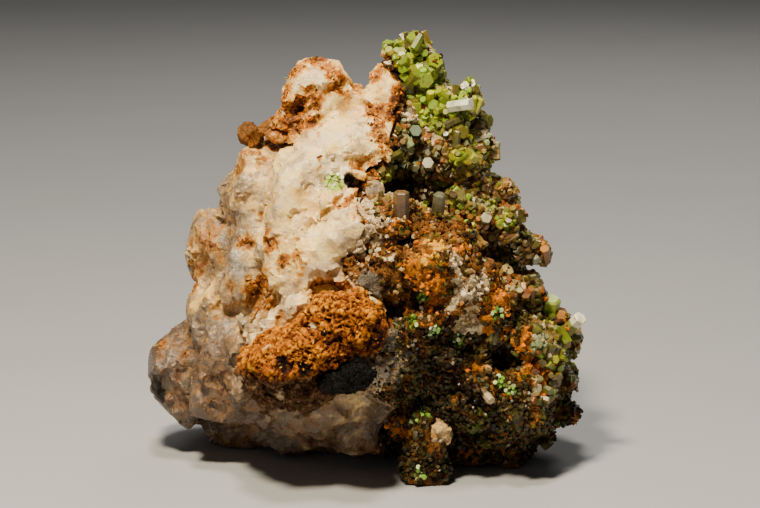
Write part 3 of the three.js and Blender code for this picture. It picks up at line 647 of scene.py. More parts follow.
# Gossan: spots on its surface
GOSSAN_ORANGE = [
    (12.4, -14.1, 31.6, 1.6, 0.8), (7.1, -17.8, 29.1, 2.8, 0.85), (9, -15.4, 25.8, 2, 0.7),
    (4, -15.5, 33.5, 1.8, 0.6), (16.6, -12.4, 26.2, 1.6, 1.1), (17.3, -13.1, 24.4, 1.3, 0.8),
    (20.4, -12.4, 20.3, 1.5, 1.1), (19.9, -12.6, 18.7, 1.5, 1.2), (16.1, -12.8, 20.4, 1.2, 0.9),
    (21.3, -11.8, 16, 2.2, 1), (18, -11.8, 20.2, 1.2, 1.1), (21.2, -11.6, 20.4, 1.5, 1.1),
    (22.6, -11.4, 15.1, 1.8, 1.1), (24.6, -10.7, 14.9, 1.5, 1.1), (23.3, -11.6, 13.2, 1.6, 0.9),
    (20.3, -12.4, 14.7, 1.4, 0.8), (15.6, -12.9, 22.6, 1, 1), (16.4, -12.9, 24.9, 1.3, 1.1),
    (8.2, -17, 27.4, 1.6, 0.9), (26, -5.5, 13.3, 1.8, 0.8), (14.6, -13, 15.5, 1.5, 0.8),
    (16.7, -11.3, 14.8, 1.4, 0.8), (4.6, -9.5, 6, 2.2, 0.9), (20, -3.5, 31, 2.2, 0.7),
    (18, -12.3, 24.5, 1.4, 1.1), (21.9, -11.7, 16.5, 1.5, 1.1), (23.2, -11.8, 12.6, 1.6, 1),
    (25.7, -5.2, 11.4, 1.6, 0.9), (4.1, -7.8, 5.7, 1.6, 1.2), (6, -11.5, 6.3, 1.2, 0.9),
    (23.8, -3.5, 22.2, 1.8, 0.9), (14, -5.7, 2.6, 2, 0.7), (10.7, -2.1, 44.9, 1.2, 0.6),
    (6.3, -0.7, 49.5, 1, 0.5), (14, 14, 20, 4, 0.6), (24.4, -9.4, 13.6, 2, 0.7), (16, -3, 34.5, 1.8, 0.6),
    (4.5, 0.4, 51.4, 1.2, 0.85), (3.5, 0.2, 52.7, 1, 0.85), (5.1, 0, 49.5, 1.2, 0.85),
]
GOSSAN_YELLOW = [
    (8.7, -15.8, 32.8, 1, 1.1), (9.2, -17.2, 32, 1.1, 1.2), (8.5, -17.6, 31.2, 1.1, 1.1),
    (9.3, -17.8, 30.6, 1.1, 1.2), (8.6, -17.6, 29.5, 0.9, 1),
]
GOSSAN_PALE = [
    (0.8, -13.5, 35, 2.2, 1), (-0.1, -14, 32.6, 2.2, 1), (1.6, -14.7, 34.6, 1.8, 0.9),
    (0.3, -11.8, 36.8, 1.6, 1), (2.4, -15.6, 31.2, 1.2, 0.8), (3.6, -15.4, 35.6, 1.2, 0.8),
    (11.8, -16.2, 30, 1.4, 1.1), (13.7, -13.8, 26.6, 1.9, 1.2), (12.6, -16.2, 26.4, 1.4, 1.1),
    (10.9, -15.9, 25.1, 1.3, 1.1), (12.4, -15.8, 28.4, 1.3, 1.1), (13, -12.9, 21.5, 1.9, 1.1),
    (14.6, -12.6, 20.9, 1.4, 1), (9.9, -18, 30.9, 0.7, 0.8), (6.3, -0.7, 47.8, 1.3, 0.9),
    (5, 1.2, 49, 1.2, 0.8), (6, -1.4, 46.8, 1.4, 1.2), (7.1, -1.7, 45.8, 1.6, 1.2),
    (8, -1.6, 44.8, 1.5, 1.2), (8.9, -2.1, 43.8, 1.4, 1.1), (10.2, -3.3, 42, 1.2, 0.8),
    (13.9, -13.6, 26.1, 1.3, 1.2), (13.5, -13.8, 24.2, 1.3, 1.1), (12.3, -13, 22, 1.4, 1.1),
    (14.9, -12.5, 18, 1, 0.8),
]
GOSSAN_GREY = [
    (0.7, -16.3, 27.3, 1.7, 1), (1.9, -16.2, 25.4, 1.4, 0.7), (3.4, -15.5, 19.4, 2.2, 0.8),
    (4.7, -15.2, 17.8, 2, 0.8), (2.2, -11.2, 22.2, 2.2, 0.8), (3.7, -15.4, 16, 1.8, 0.9),
    (2.8, -14.6, 20.5, 1.7, 1), (4.1, -15.5, 21.4, 1.3, 0.8), (4.7, -12.4, 22.2, 1.4, 0.8),
    (6, -1, 44, 2, 0.4),
]
GOSSAN_HOLE = ((17.6, -12.2, 17.2), (0.05, 1.0, -0.1), 1.9, 4.0)  # as QUARTZ_HOLES
GOSSAN_SET_BACK = [
    (13.2, -1, 49, 2.6, 1), (15.2, 0, 46.5, 2.6, 1), (17.3, 0.5, 42.5, 2.6, 0.9), (19.5, 1, 36.2, 2.6, 1),
    (25, -1, 29.5, 2.4, 0.9), (23.7, -1, 24.2, 2.4, 0.9), (28.7, -3, 17, 2, 1), (9.5, 0.5, 54, 1.8, 0.6),
]
GOSSAN_SHADE = [
    (4.3, -3.9, 41.5, 1.7, 0.9), (4.3, 1.2, 37.7, 3, 1), (6.4, 0.5, 36.3, 2.2, 1), (5.4, -2.8, 39.4, 2, 1),
    (7.4, -0.4, 38, 2.2, 1), (9.9, -3.3, 40.9, 1.2, 0.7), (11.3, -2.8, 39, 1.4, 0.9),
    (17.6, -9.6, 16.4, 1.8, 1.1), (18.4, -10.1, 16.8, 1.3, 1.1), (20.4, -2.4, 28.8, 2, 0.9),
    (17.8, -3.2, 29.7, 2.2, 0.9), (9.7, -16, 21.5, 2.4, 0.5), (8.4, -16, 17.6, 2.8, 0.8),
    (12.3, -13.4, 14.3, 2.2, 0.8), (13.6, -13.3, 11.7, 2.4, 0.9), (11.1, -11.7, 8.5, 2.8, 0.9),
    (15.1, -9.7, 6.6, 2.8, 0.8), (5.6, -15.4, 32.8, 0.7, 1), (7.8, -17.8, 30.3, 0.6, 1.2),
    (6.4, -17, 27.6, 0.5, 1), (4.8, -3.3, 1.2, 1.6, 0.8), (6, -12, 3, 3.4, 0.8), (9.5, -12.4, 2.5, 3, 0.8),
    (13, -9, 3, 3, 0.8), (2.8, -14.8, 34.4, 0.9, 0.7), (4.2, -14.7, 32.7, 0.9, 0.8),
    (1.2, -11.9, 32.4, 0.9, 0.7), (5.3, -16.5, 31.2, 0.7, 0.8), (1.6, -14.4, 29.8, 0.9, 0.8),
    (3.4, -14.6, 26.9, 1, 0.8), (6.6, -15, 25.1, 1, 0.7),
]


# Zones of the crust: prism radius, how far the ends stand out, share of the ground that they take,
# and the odds of a green, olive, dark, orange, tan or pale prism
ZONES = {
    "spire": ((0.46, 0.86), (0.15, 0.75), 1.0, (0.60, 0.17, 0.02, 0.07, 0.12, 0.02)),
    "slope": ((0.32, 0.60), (0.15, 0.70), 0.75, (0.28, 0.26, 0.08, 0.06, 0.16, 0.16)),
    "flank": ((0.35, 0.68), (0.15, 0.75), 1.0, (0.44, 0.26, 0.05, 0.12, 0.13, 0.00)),
    "rim": ((0.38, 0.80), (0.20, 1.00), 1.0, (0.26, 0.36, 0.10, 0.14, 0.13, 0.01)),
    "shelf": ((0.30, 0.58), (0.15, 0.75), 0.95, (0.08, 0.34, 0.08, 0.22, 0.28, 0.00)),
    "front": ((0.20, 0.38), (0.10, 0.45), 0.05, (0.10, 0.26, 0.30, 0.14, 0.20, 0.00)),
    # The centre and the lower zone take mostly dark prisms: partly their own colour, partly painted shade
    # under the front mass.
    "centre": ((0.20, 0.42), (0.15, 0.65), 0.30, (0.10, 0.20, 0.62, 0.08, 0.00, 0.00)),
    "lower": ((0.20, 0.46), (0.15, 0.65), 0.35, (0.06, 0.22, 0.52, 0.16, 0.04, 0.00)),
    "back": ((0.46, 0.84), (0.15, 0.75), 0.60, (0.34, 0.30, 0.06, 0.10, 0.18, 0.02)),
}
COVER = {name: share for name, (_, _, share, _) in ZONES.items()}


def zones_at(points):
    """The name of the zone that each point of the crust is in, the first one whose rule holds."""
    x, y, z = points.T
    rules = {
        "spire": z > 47.5,
        "slope": (z > 37) & (y < 3) & (x < 8.6 + 0.1 * (44 - z)),
        "flank": z > 41.5 - 0.3 * np.abs(y),
        "rim": (x > 21.5) & (z > 11) & (y < 12),
        "back": y > 8,
        "shelf": (z > 24) & (y > -9),
        "front": z > 22,
        "centre": (x < 14.5) & (z > 9),
    }
    return np.select(list(rules.values()), list(rules), "lower")


def by_zone(points, values, usual=None):
    """The value of each point's zone, or the usual one where that zone has none."""
    return np.array([values.get(zone, usual) for zone in zones_at(points)])


def shape_gossan():
    """A clotted, crumbly skin, set back where prisms cover it."""
    skin = Skin("gossan_crust", 0.37, 2)
    points, strays = skin.points, strayed(skin.points)
    cover = by_zone(points, COVER)
    skin.chisel(2.6, lean=0.34, scoop=0.1, limit=0.7)
    smooth_lump = near(strays, GOSSAN_GREY[:1])
    clot, _, _ = cells(points, 1.6, 21)
    crumb, _, _ = cells(points, 0.75, 22)
    rough = 0.42 * (0.5 - clot) + 0.30 * (0.5 - crumb) + 0.22 * field(points, 1.2, 3, 23)
    skin.push(0.1 - 0.65 * cover + rough * (1 + 0.6 * (1 - cover)) * (1 - 0.85 * smooth_lump))
    skin.push(-0.5 * near(skin.points, GOSSAN_SET_BACK))
    skin.hold(0.15)
    skin.gouge(*GOSSAN_HOLE)
    return skin


gossan = shape_gossan()
strays = strayed(gossan.points)
hollow = np.clip(gossan.hollow(10) / 0.3, -1, 2)
cover = by_zone(gossan.points, COVER)
gossan.finish(
    "gossan", gossan_material(), "gossan", "gossan_crust",
    orange=near(strays, GOSSAN_ORANGE), yellow=near(strays, GOSSAN_YELLOW), pale=near(strays, GOSSAN_PALE),
    grey=near(strays, GOSSAN_GREY), shade=near(strays, GOSSAN_SHADE) + 0.3 * cover + 0.25 * hollow,
)

# Ledge
LEDGE_PALE = [
    (-5.9, -19, 22.3, 0.8, 1), (-12, -19.6, 20.2, 0.8, 0.8), (-4.6, -19.8, 18.8, 0.6, 0.7),
    (-10.3, -18.7, 14.3, 1, 0.8), (-15.5, -17, 15.4, 0.9, 0.8), (-8, -18.6, 13.2, 0.7, 0.7),
]
KEEL_TOP = 18.2  # the height below which the ledge turns darker brown, partly brown earth and partly painted shade on its underside
# Along the valley between the two lobes: sunk into the rock, and darkened as painted shade.
LEDGE_VALLEY = [
    (-6.2, -19, 23, 1, 0.8), (-4.9, -20.6, 22.1, 1, 1), (-3.4, -20.4, 20.9, 1, 1),
    (-1.5, -19.4, 19.9, 1, 0.9), (-0.1, -17.5, 19, 0.9, 0.8),
]
# Painted shade: the hollow between the ledge and the quartz, and along the lower edge of the orange.
LEDGE_SHADOWS = [
    (1.9, -18.1, 22.6, 1.3, 0.8), (1.5, -18.3, 20.6, 1.2, 0.9), (-9.5, -21.2, 18, 1, 0.7),
    (-12, -20.9, 17.4, 1.2, 0.6), (-7, -20.9, 17.6, 1, 0.8), (-4, -20.3, 18.3, 1, 0.6),
]
LEDGE_HOLES = [(-9.8, -20.4, 18.4, 0.9, 1), (-7.2, -20.6, 18, 0.7, 1), (-9, -20.2, 21.6, 0.8, 0.8)]


def keel_share(points):
    """How far each point is into the darker brown keel, from 0 to 1; the keel is partly brown earth and
    partly painted shade on the underside.
    """
    return np.clip((KEEL_TOP - points[:, 2]) / 3, 0, 1)


def shape_ledge():
    """A sponge of thin ribs around pits of two sizes, smoother on the keel."""
    skin = Skin("limonite_ledge", 0.14, 6)
    points, strays = skin.points, strayed(skin.points, 0.5)
    upper = np.clip((points[:, 2] - 14.5) / 3, 0.35, 1)
    lump, _, _ = cells(strays, 1.9, 35)
    near_seed, next_seed, own = cells(strays, 0.66, 31)
    pit = np.clip((next_seed - near_seed) * 1.8, 0, 1) * (own > 0.42)
    pit *= np.clip(0.6 + 0.9 * field(points, 1.6, 2, 37), 0, 1.1)
    near_seed, next_seed, own = cells(strays, 0.36, 32)
    pore = np.clip((next_seed - near_seed) * 1.8, 0, 1) * (own > 0.35)
    skin.push(0.20 + 0.45 * field(points, 2.6, 3, 33) - 0.9 * near(strays, LEDGE_HOLES + LEDGE_VALLEY))
    skin.push((1.35 - upper) * (0.9 * (0.5 - lump) + 0.5 * field(points, 0.9, 3, 36)))
    skin.push(upper * (0.34 - 0.75 * pit - 0.36 * pore) + 0.13 * field(points, 0.5, 3, 34, 0.7))
    skin.pits = 0.65 * pit + 0.45 * pore
    return skin


ledge = shape_ledge()
strays = strayed(ledge.points, 0.5)
# Lower in the pits, and lowered further as painted shade in hollows, in the holes, on the dark spots and
# along the valley between the lobes.
rib = 1.0 - ledge.pits - 0.25 * np.clip(ledge.hollow(6) / 0.15, -1, 1) - near(strays, LEDGE_HOLES)
rib -= 0.55 * near(strays, LEDGE_SHADOWS) + 0.35 * near(strays, LEDGE_VALLEY)
ledge.finish(
    "ledge", limonite_material(), "limonite", "limonite_ledge",
    rib=rib, shade=keel_share(ledge.points), pale=near(strays, LEDGE_PALE),
)

# Cap, nodule and knot
cap = Skin("goethite_cap", 0.16, 6)
bead, _, _ = cells(cap.points, 0.6, 41)
cap.push(0.15 + 0.25 * field(cap.points, 2.0, 2, 42) + 0.5 * (0.45 - bead))
cap_look = goethite_material()
cap.finish("goethite", cap_look, "goethite", "goethite_cap")

nodule = Skin("limonite_nodule", 0.16, 12)
nodule.chisel(1.3, lean=0.25, scoop=0.1, limit=0.3)
clot, _, _ = cells(nodule.points, 0.7, 43)
nodule.push(0.12 + 0.2 * field(nodule.points, 1.5, 3, 44) + 0.18 * (0.5 - clot))
nodule.finish(
    "nodule", gossan_material("nodule"), "limonite", "limonite_nodule",
    orange=0.12 + 0.2 * field(nodule.points, 1.4, 2, 45), pale=0.1, shade=0.05,
)

knot = Skin("quartz_knot", 0.16, 5)
knot.chisel(1.2, lean=0.3, scoop=0.12, limit=0.3)
knot.push(0.12 + 0.12 * field(knot.points, 0.8, 3, 46))
knot.finish(
    "knot", quartz_look, "quartz", "quartz_knot", sharp=30,
    aged=-0.05, rust=0.08, grey=0.2, umber=0.5,
)


# Places on the skins, and the prisms that grow there
def tree_of(skins):
    """The faces of some skins, to find what is near them."""
    points = np.concatenate([s.points for s in skins])
    offsets = np.cumsum([0] + [len(s.points) for s in skins[:-1]])
    quads = np.concatenate([s.quads + o for s, o in zip(skins, offsets)])
    return BVHTree.FromPolygons(points.tolist(), quads.tolist())


def scattered(skin, count):
    """Random points of a skin, spread evenly over its area, with the broad normals there."""
    a, b, c, d = (skin.points[skin.quads[:, i]] for i in range(4))
    area = np.linalg.norm(np.cross(c - a, d - b), axis=1)
    picks = rng.choice(len(area), count, p=area / area.sum())
    u, v = rng.random((2, count, 1))
    a, b, c, d = a[picks], b[picks], c[picks], d[picks]
    at = a * (1 - u) * (1 - v) + b * u * (1 - v) + c * u * v + d * (1 - u) * v
    return at, skin.open_normals[skin.quads[picks, 0]]


class Spacing:
    """Keeps prisms apart: a grid of those that stand already, with their radii."""

    CELL = 1.7

    def __init__(self):
        self.grid = {}

    def claim(self, at, radius):
        """Takes the place and says so, unless a prism is too near."""
        cell = tuple(math.floor(v / self.CELL) for v in at)
        for place in product(*((i - 1, i, i + 1) for i in cell)):
            for other, other_radius in self.grid.get(place, ()):
                if math.dist(at, other) < CROWDING * (radius + other_radius):
                    return False
        self.grid.setdefault(cell, []).append((at, radius))
        return True


class Prisms:
    """A growing list of hexagonal prisms that becomes one mesh."""

    def __init__(self):
        self.rows, self.tones = [], []

    def grow(self, end, axis, radius, length, spin, bevel, tone):
        """A prism by the middle of its end; tone is the colours of its foot, its walls and its end."""
        self.rows.append((*end, *axis, radius, length, spin, bevel))
        self.tones.append(tone)

    def piece(self, name, material, replaced=()):
        rows = np.array(self.rows)
        count = len(rows)
        end, axis = rows[:, None, :3], unit(rows[:, None, 3:6])
        radius, length, spin, bevel = (rows[:, i, None, None] for i in range(6, 10))
        side = side_of(axis)
        angle = spin + (np.arange(6) * math.pi / 3)[None, :, None]
        ring = radius * (np.cos(angle) * side + np.sin(angle) * np.cross(axis, side))
        ring *= 1 + 0.1 * rng.uniform(-1, 1, (count, 6, 1))
        slant = rng.normal(0, 0.10, (count, 6, 1)) * radius
        shoulder = end + ring - axis * (bevel * radius + np.abs(slant))
        points = np.concatenate([end + ring * 0.92 - axis * length, shoulder, end + ring * (1 - bevel)], 1)
        base = (np.arange(count) * 18)[:, None]
        turns = [(i, (i + 1) % 6, 6 + (i + 1) % 6, 6 + i) for i in range(6)]
        sides = [np.array(turn) + low for turn in turns for low in (0, 6)]
        walls = (base[:, None] + np.array(sides)).reshape(-1, 4).tolist()
        ends = (base + np.arange(12, 18)).tolist() + (base + np.arange(5, -1, -1)).tolist()
        obj = new_piece(name, points.reshape(-1, 3), walls + ends, material, replaced, False)
        paint(obj, np.repeat(np.array(self.tones), 6, axis=1).reshape(-1, 3))


def paint(obj, colors):
    """A colour for each vertex, in the attribute that the material reads."""
    data = np.ones((len(colors), 4), dtype=np.float32)
    data[:, :3] = np.clip(colors, 0, 1)
    obj.data.color_attributes.new("tone", "FLOAT_COLOR", "POINT").data.foreach_set("color", data.ravel())


def caps_of(node, smallest=0.6, largest=1.7):
    """The hexagonal ends of a CAD node's prisms: centre, direction, radius and one corner."""
    bm = bmesh.new()
    bm.from_mesh(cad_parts[node].data)
    bmesh.ops.scale(bm, vec=(1 / MM,) * 3, verts=bm.verts)
    bmesh.ops.remove_doubles(bm, verts=bm.verts, dist=1e-3)
    bmesh.ops.dissolve_limit(bm, angle_limit=math.radians(1.5), verts=bm.verts, edges=bm.edges)
    found = []
    for face in bm.faces:
        corners = np.array([v.co[:] for v in face.verts])
        reach = np.linalg.norm(corners - corners.mean(0), axis=1)
        if len(corners) == 6 and reach.std() < 0.03 * reach.mean() and smallest < reach.mean() < largest:
            found.append((corners.mean(0), np.array(face.normal), reach.mean(), corners[0]))
    bm.free()
    return found


PALETTES = np.array([  # five colours each of green, olive, dark, orange, tan and pale prisms
    (0.30, 0.38, 0.004), (0.20, 0.29, 0.004), (0.42, 0.46, 0.008), (0.20, 0.36, 0.012), (0.13, 0.19, 0.004),
    (0.13, 0.11, 0.008), (0.20, 0.14, 0.012), (0.09, 0.08, 0.008), (0.22, 0.14, 0.020), (0.16, 0.16, 0.010),
    (0.05, 0.03, 0.006), (0.05, 0.05, 0.006), (0.06, 0.02, 0.005), (0.06, 0.07, 0.006), (0.03, 0.014, 0.005),
    (0.42, 0.12, 0.008), (0.30, 0.08, 0.006), (0.46, 0.18, 0.02), (0.20, 0.055, 0.008), (0.32, 0.13, 0.020),
    (0.35, 0.22, 0.050), (0.28, 0.15, 0.025), (0.46, 0.34, 0.120), (0.22, 0.10, 0.018), (0.40, 0.29, 0.070),
    (0.32, 0.40, 0.180), (0.46, 0.44, 0.280), (0.26, 0.34, 0.160), (0.52, 0.47, 0.330), (0.38, 0.42, 0.220),
]).reshape(6, 5, 3)
CREAM = np.array((0.60, 0.50, 0.24))
CREAM_SHARE = 0.07  # of the prisms have a pale end, except where painted shade dims them
ZONE_SHADE = {"front": 0.6, "centre": 0.19, "lower": 0.19, "rim": 0.75}  # a factor on the colours of a zone's prisms: painted shade in the centre, the lower part and the rim, which lie in shadow; it darkens the front's prisms too
TALLEST = 0.65  # how far a prism stands out from the CAD surface at most, less when it is wide
UPRIGHT = 0.55  # a prism that leans so far that the cosine is less than this is set more upright
BESIDE_THE_HOLE = [(0.2, -7.6, 38.4, 1.8, 1), (1.4, -8.4, 38.2, 1.6, 1)]  # where no prism stands
CAD_PRISM = 0.85  # radius of a prism that stands on an end of the CAD model's, as a share of that one's
PRISM_TRIES = 80000
CROWDING = 0.60  # how near two prisms may stand, as a share of the sum of their radii
LEAN, DRIFT = 0.42, 0.8  # how much a prism leans by itself, and along with its neighbours
ROOT = 1.6  # how far a prism goes down from its end, besides its radius
MOOD_SIZE = 2.6  # how wide a patch of like colour is


def moods(points, size, seed):
    """A number from 0 to 1 for each point, much the same for neighbours, that picks a colour."""
    return np.clip(0.5 + 0.65 * field(points, size, 2, seed), 0, 1)


def druse_tone(zone, mood, shade):
    """Colours of a prism's foot, walls and end in a zone of the crust; the darker foot is painted shade low
    between the prisms, and shade, which is painted shade, takes them towards black.
    """
    odds = np.cumsum(ZONES[zone][3])
    hue = min(int(np.searchsorted(odds, mood + rng.normal(0, 0.16))), len(PALETTES) - 1)
    dim = ZONE_SHADE.get(zone, 1) * (1 - 0.8 * min(shade, 1))
    walls = PALETTES[hue, rng.integers(5)] * rng.uniform(0.7, 1.25) * dim
    end = walls * rng.uniform(0.9, 1.35)
    if dim > 0.7 and rng.random() < CREAM_SHARE:
        end = end + (CREAM - end) * rng.uniform(0.2, 0.6)
    return walls * 0.45, walls, end


crystal_look = pyromorphite_material()
upper_druse, lower_druse = Prisms(), Prisms()
druse = {name: upper_druse for name in ZONES}
druse.update(front=lower_druse, centre=lower_druse, lower=lower_druse, back=lower_druse)
spacing = Spacing()
for centre, normal, radius, corner in caps_of("gossan_crust"):
    spot = centre[None]
    if near(spot, BESIDE_THE_HOLE)[0] > 0:
        continue
    side = side_of(normal)
    towards = corner - centre
    spin = math.atan2(towards @ np.cross(normal, side), towards @ side)
    zone = zones_at(spot)[0]
    tone = druse_tone(zone, moods(spot, MOOD_SIZE, 61)[0], near(spot, GOSSAN_SHADE)[0])
    druse[zone].grow(centre + normal * 0.05, normal, radius * CAD_PRISM, 2.4, spin, 0.10, tone)
    spacing.claim(tuple(centre), radius * CAD_PRISM)

others = tree_of([quartz, ledge, cap, nodule, knot])
places, outward = scattered(gossan, PRISM_TRIES)
zones = zones_at(places)
drift = np.stack([field(places, 2.8, 2, 62 + k) for k in range(3)], 1)  # neighbours lean much the same way
odds = rng.random(len(places))
bare = near(strayed(places), GOSSAN_ORANGE + GOSSAN_PALE + GOSSAN_GREY) > 0.75  # crumbs alone, with no prisms
bare |= near(places, BESIDE_THE_HOLE) > 0
shades = near(strayed(places), GOSSAN_SHADE)
each = zip(places, outward, drift, zones, odds, moods(places, MOOD_SIZE, 61), shades, bare)
for at, normal, lean, zone, chance, mood, shade, uncovered in each:
    (small, large), (least, most), share, _ = ZONES[zone]
    radius = small + (large - small) * rng.random() ** 1.4
    axis = unit(normal + DRIFT * lean + rng.normal(0, LEAN, 3))
    if axis @ normal < UPRIGHT:
        axis = unit(axis + 0.7 * normal)
    end = at + normal * (0.35 * share) + axis * rng.uniform(least, most) * 0.8
    too_low = end[2] - radius < 0.3 or (normal[2] < -0.75 and at[2] < 4)
    if chance > share or too_low or uncovered:
        continue
    if others.find_nearest(Vector(end), 0.5 + radius)[0] or not spacing.claim(tuple(at), radius):
        continue
    away, back = gossan.standing_out(end.tolist())
    end = end + max(away + 0.6 * radius - TALLEST, 0) * np.array(back)
    length = ROOT + radius
    foot = end - axis * length
    if gossan.standing_out(foot.tolist())[0] > 0.1:
        continue
    tone = druse_tone(zone, mood, shade)
    druse[zone].grow(end, axis, radius, length, rng.random(), rng.uniform(0.06, 0.18), tone)
upper_druse.piece("druse_upper", crystal_look)
lower_druse.piece("druse_lower", pyromorphite_material("dull_pyromorphite", shine=0.2))

# Bright clusters that catch the light, each of a few small prisms
CLUSTERS = [
    (7.5, -15.4, 25.7), (6.7, -15.9, 22.5), (12.2, -13.2, 19.4), (17.4, -12.9, 13.9), (18.8, -12.9, 13.0),
    (6.8, -11.6, 8.9), (7.6, -11.9, 9.8), (7.3, -13.0, 1.8), (8.9, -16.3, 21.6), (17.1, -13.0, 23.0),
    (5.9, -15.4, 35.6),
]
GOLDEN_ANGLE = 2.39996
BRIGHT = ((0.26, 0.50, 0.06), (0.16, 0.38, 0.02), (0.50, 0.68, 0.30), (0.06, 0.16, 0.01))


def cluster(prisms, tree, spot, facing, palette, count, reach, radii, out):
    """Small prisms that spread from one spot of a surface, in a sunflower's order."""
    side = unit(np.cross((0.0, 0.1, 1.0), facing))
    up = np.cross(facing, side)
    for i in range(count):
        angle, far = i * GOLDEN_ANGLE, reach * math.sqrt((i + 0.5) / count)
        offset = far * (math.cos(angle) * side + math.sin(angle) * up)
        foot = tree.ray_cast(Vector(spot + offset + 2.5 * facing), Vector(-facing), 5)[0]
        if foot is None:
            continue
        foot = np.array(foot)
        axis = unit(facing + 0.35 * offset / reach + rng.normal(0, 0.2, 3))
        walls = np.array(palette[rng.integers(len(palette))]) * rng.uniform(0.7, 1.1)
        # The foot is darker than the walls: painted shade low between the prisms.
        tone = (walls * 0.5, walls, walls * 1.35)
        end = foot + axis * rng.uniform(*out)
        prisms.grow(end, axis, rng.uniform(*radii), ROOT, rng.random(), 0.12, tone)


crust = tree_of([gossan])
bright = Prisms()
for spot in CLUSTERS:
    facing = unit(np.array(crust.find_nearest(Vector(spot))[1]) + (0.0, -0.9, 0.3))
    cluster(bright, crust, spot, facing, BRIGHT, count=8, reach=0.75, radii=(0.20, 0.36), out=(0.3, 0.7))
bright.piece("bright_prisms", crystal_look)

# The tuft on the white face
TUFT = ((0.40, 0.54, 0.08), (0.50, 0.58, 0.18), (0.32, 0.48, 0.05), (0.56, 0.60, 0.26))
tuft = Prisms()
quartz_face = tree_of([quartz])
spot, facing = (-3.6, -10.4, 39.6), unit((0.0, -1.0, 0.4))
cluster(tuft, quartz_face, spot, facing, TUFT, count=30, reach=1.15, radii=(0.23, 0.33), out=(0.2, 0.45))
tuft.piece("tuft", crystal_look, ["pyromorphite_tuft"])

# Prisms that stand alone keep their CAD shape: colours of the walls and of the last part of the end
SINGLES = {
    "crystal_brown": ((0.075, 0.036, 0.012), (0.13, 0.068, 0.024)),
    "crystal_grey": ((0.05, 0.055, 0.03), (0.11, 0.12, 0.075)),
    # The crown's pale colour is painted highlight: a glint.
    "crystal_crown": ((0.62, 0.68, 0.50), (0.80, 0.82, 0.70)),
    "crystal_slope": ((0.11, 0.18, 0.09), (0.18, 0.26, 0.17)),
    "crystal_pale": ((0.40, 0.36, 0.27), (0.52, 0.48, 0.38)),
    # The rim tip's white end is a painted highlight where light falls on it.
    "crystal_rim_tip": ((0.22, 0.26, 0.03), (0.90, 0.86, 0.64)),
    "crystal_rim_plate": ((0.24, 0.36, 0.03), (0.34, 0.46, 0.06)),
    "crystal_rim_side": ((0.34, 0.42, 0.08), (0.46, 0.50, 0.16)),
    "crystal_low": ((0.05, 0.022, 0.008), (0.50, 0.36, 0.20)),
}
END_BAND = (1.0, 1.5)  # how far from its end a prism's end colour starts and stops to fade
for name, (walls, end) in SINGLES.items():
    caps = caps_of(name, 0.3)
    centre, normal, _, _ = max(caps, key=lambda cap: math.hypot(cap[0][0], cap[0][1]) + cap[0][2])

    def graded(n):
        """The end's colour near the end, and the walls' colour below."""
        along = n.node("VectorMath", {"operation": "DOT_PRODUCT"}, n.coords, tuple(normal))
        top = float(centre @ normal)
        return n.mix(n.range(along.outputs["Value"], top - END_BAND[1], top - END_BAND[0]), walls, end)

    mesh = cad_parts[name].data
    mesh.materials.clear()
    mesh.materials.append(pyromorphite_material(name, graded))

# Crumbs of ore and grains of quartz
RING_REACH, RING_RISE = 0.894, 0.447  # of an icosahedron's ring of five corners, for a radius of 1
TURNS = [i * math.tau / 5 for i in range(5)]
RING = [(RING_REACH * math.cos(turn), RING_REACH * math.sin(turn), RING_RISE) for turn in TURNS]
ICO = np.array([(0, 0, 1), *RING, *((-x, -y, -z) for x, y, z in RING), (0, 0, -1)])


def ico_faces():
    """The triangles of an icosahedron over ICO's corners, found as its nearest triples."""
    close = np.linalg.norm(ICO[:, None] - ICO, axis=2) < 1.2
    triples = [(a, b, c) for a, b, c in product(range(12), repeat=3) if a < b < c]
    triples = [t for t in triples if close[t[0], t[1]] and close[t[1], t[2]] and close[t[0], t[2]]]
    outward = [np.dot(np.cross(ICO[b] - ICO[a], ICO[c] - ICO[a]), ICO[a]) > 0 for a, b, c in triples]
    return np.array([t if out else t[::-1] for t, out in zip(triples, outward)])


ICO_FACES = ico_faces()


def crumbs(name, at, radii, colors, material):
    """Angular grains as one piece."""
    count = len(at)
    turn = np.linalg.qr(rng.normal(size=(count, 3, 3)))[0]
    turn *= np.sign(np.linalg.det(turn))[:, None, None]
    shape = ICO * rng.uniform(0.55, 1.4, (count, 12, 1)) * rng.uniform(0.55, 1.3, (count, 1, 3))
    points = at[:, None] + np.einsum("nij,nkj->nki", turn, shape) * radii[:, None, None]
    faces = ICO_FACES + (np.arange(count) * 12)[:, None, None]
    obj = new_piece(name, points.reshape(-1, 3), faces.reshape(-1, 3), material, smooth=False)
    paint(obj, np.repeat(colors, 12, axis=0))


def mostly_small(count, least, most, power):
    """Random sizes; the higher the power, the fewer are large."""
    return least + (most - least) * rng.random(count) ** power


def varied(colors):
    """The colours, each a little darker or brighter at random."""
    return colors * rng.uniform(0.7, 1.2, (len(colors), 1))


def clear_of(at, tree, gap):
    """Whether each point is farther than the gap from the tree's faces."""
    return np.array([tree.find_nearest(Vector(p), gap)[0] is None for p in at])


# Colours of crumbs. The common ones come first, and flame and yellow are found only on their spots
OLIVE, GREY, DARK, BROWN, ORANGE, SAND, WHITE, FLAME, YELLOW = range(9)
COMMON = 7
ORE = np.array([
    (0.10, 0.10, 0.006), (0.20, 0.15, 0.09), (0.018, 0.008, 0.003), (0.12, 0.045, 0.008),
    (0.50, 0.145, 0.003), (0.48, 0.30, 0.12), (0.82, 0.68, 0.44), (0.82, 0.23, 0.002), (0.92, 0.50, 0.03),
])
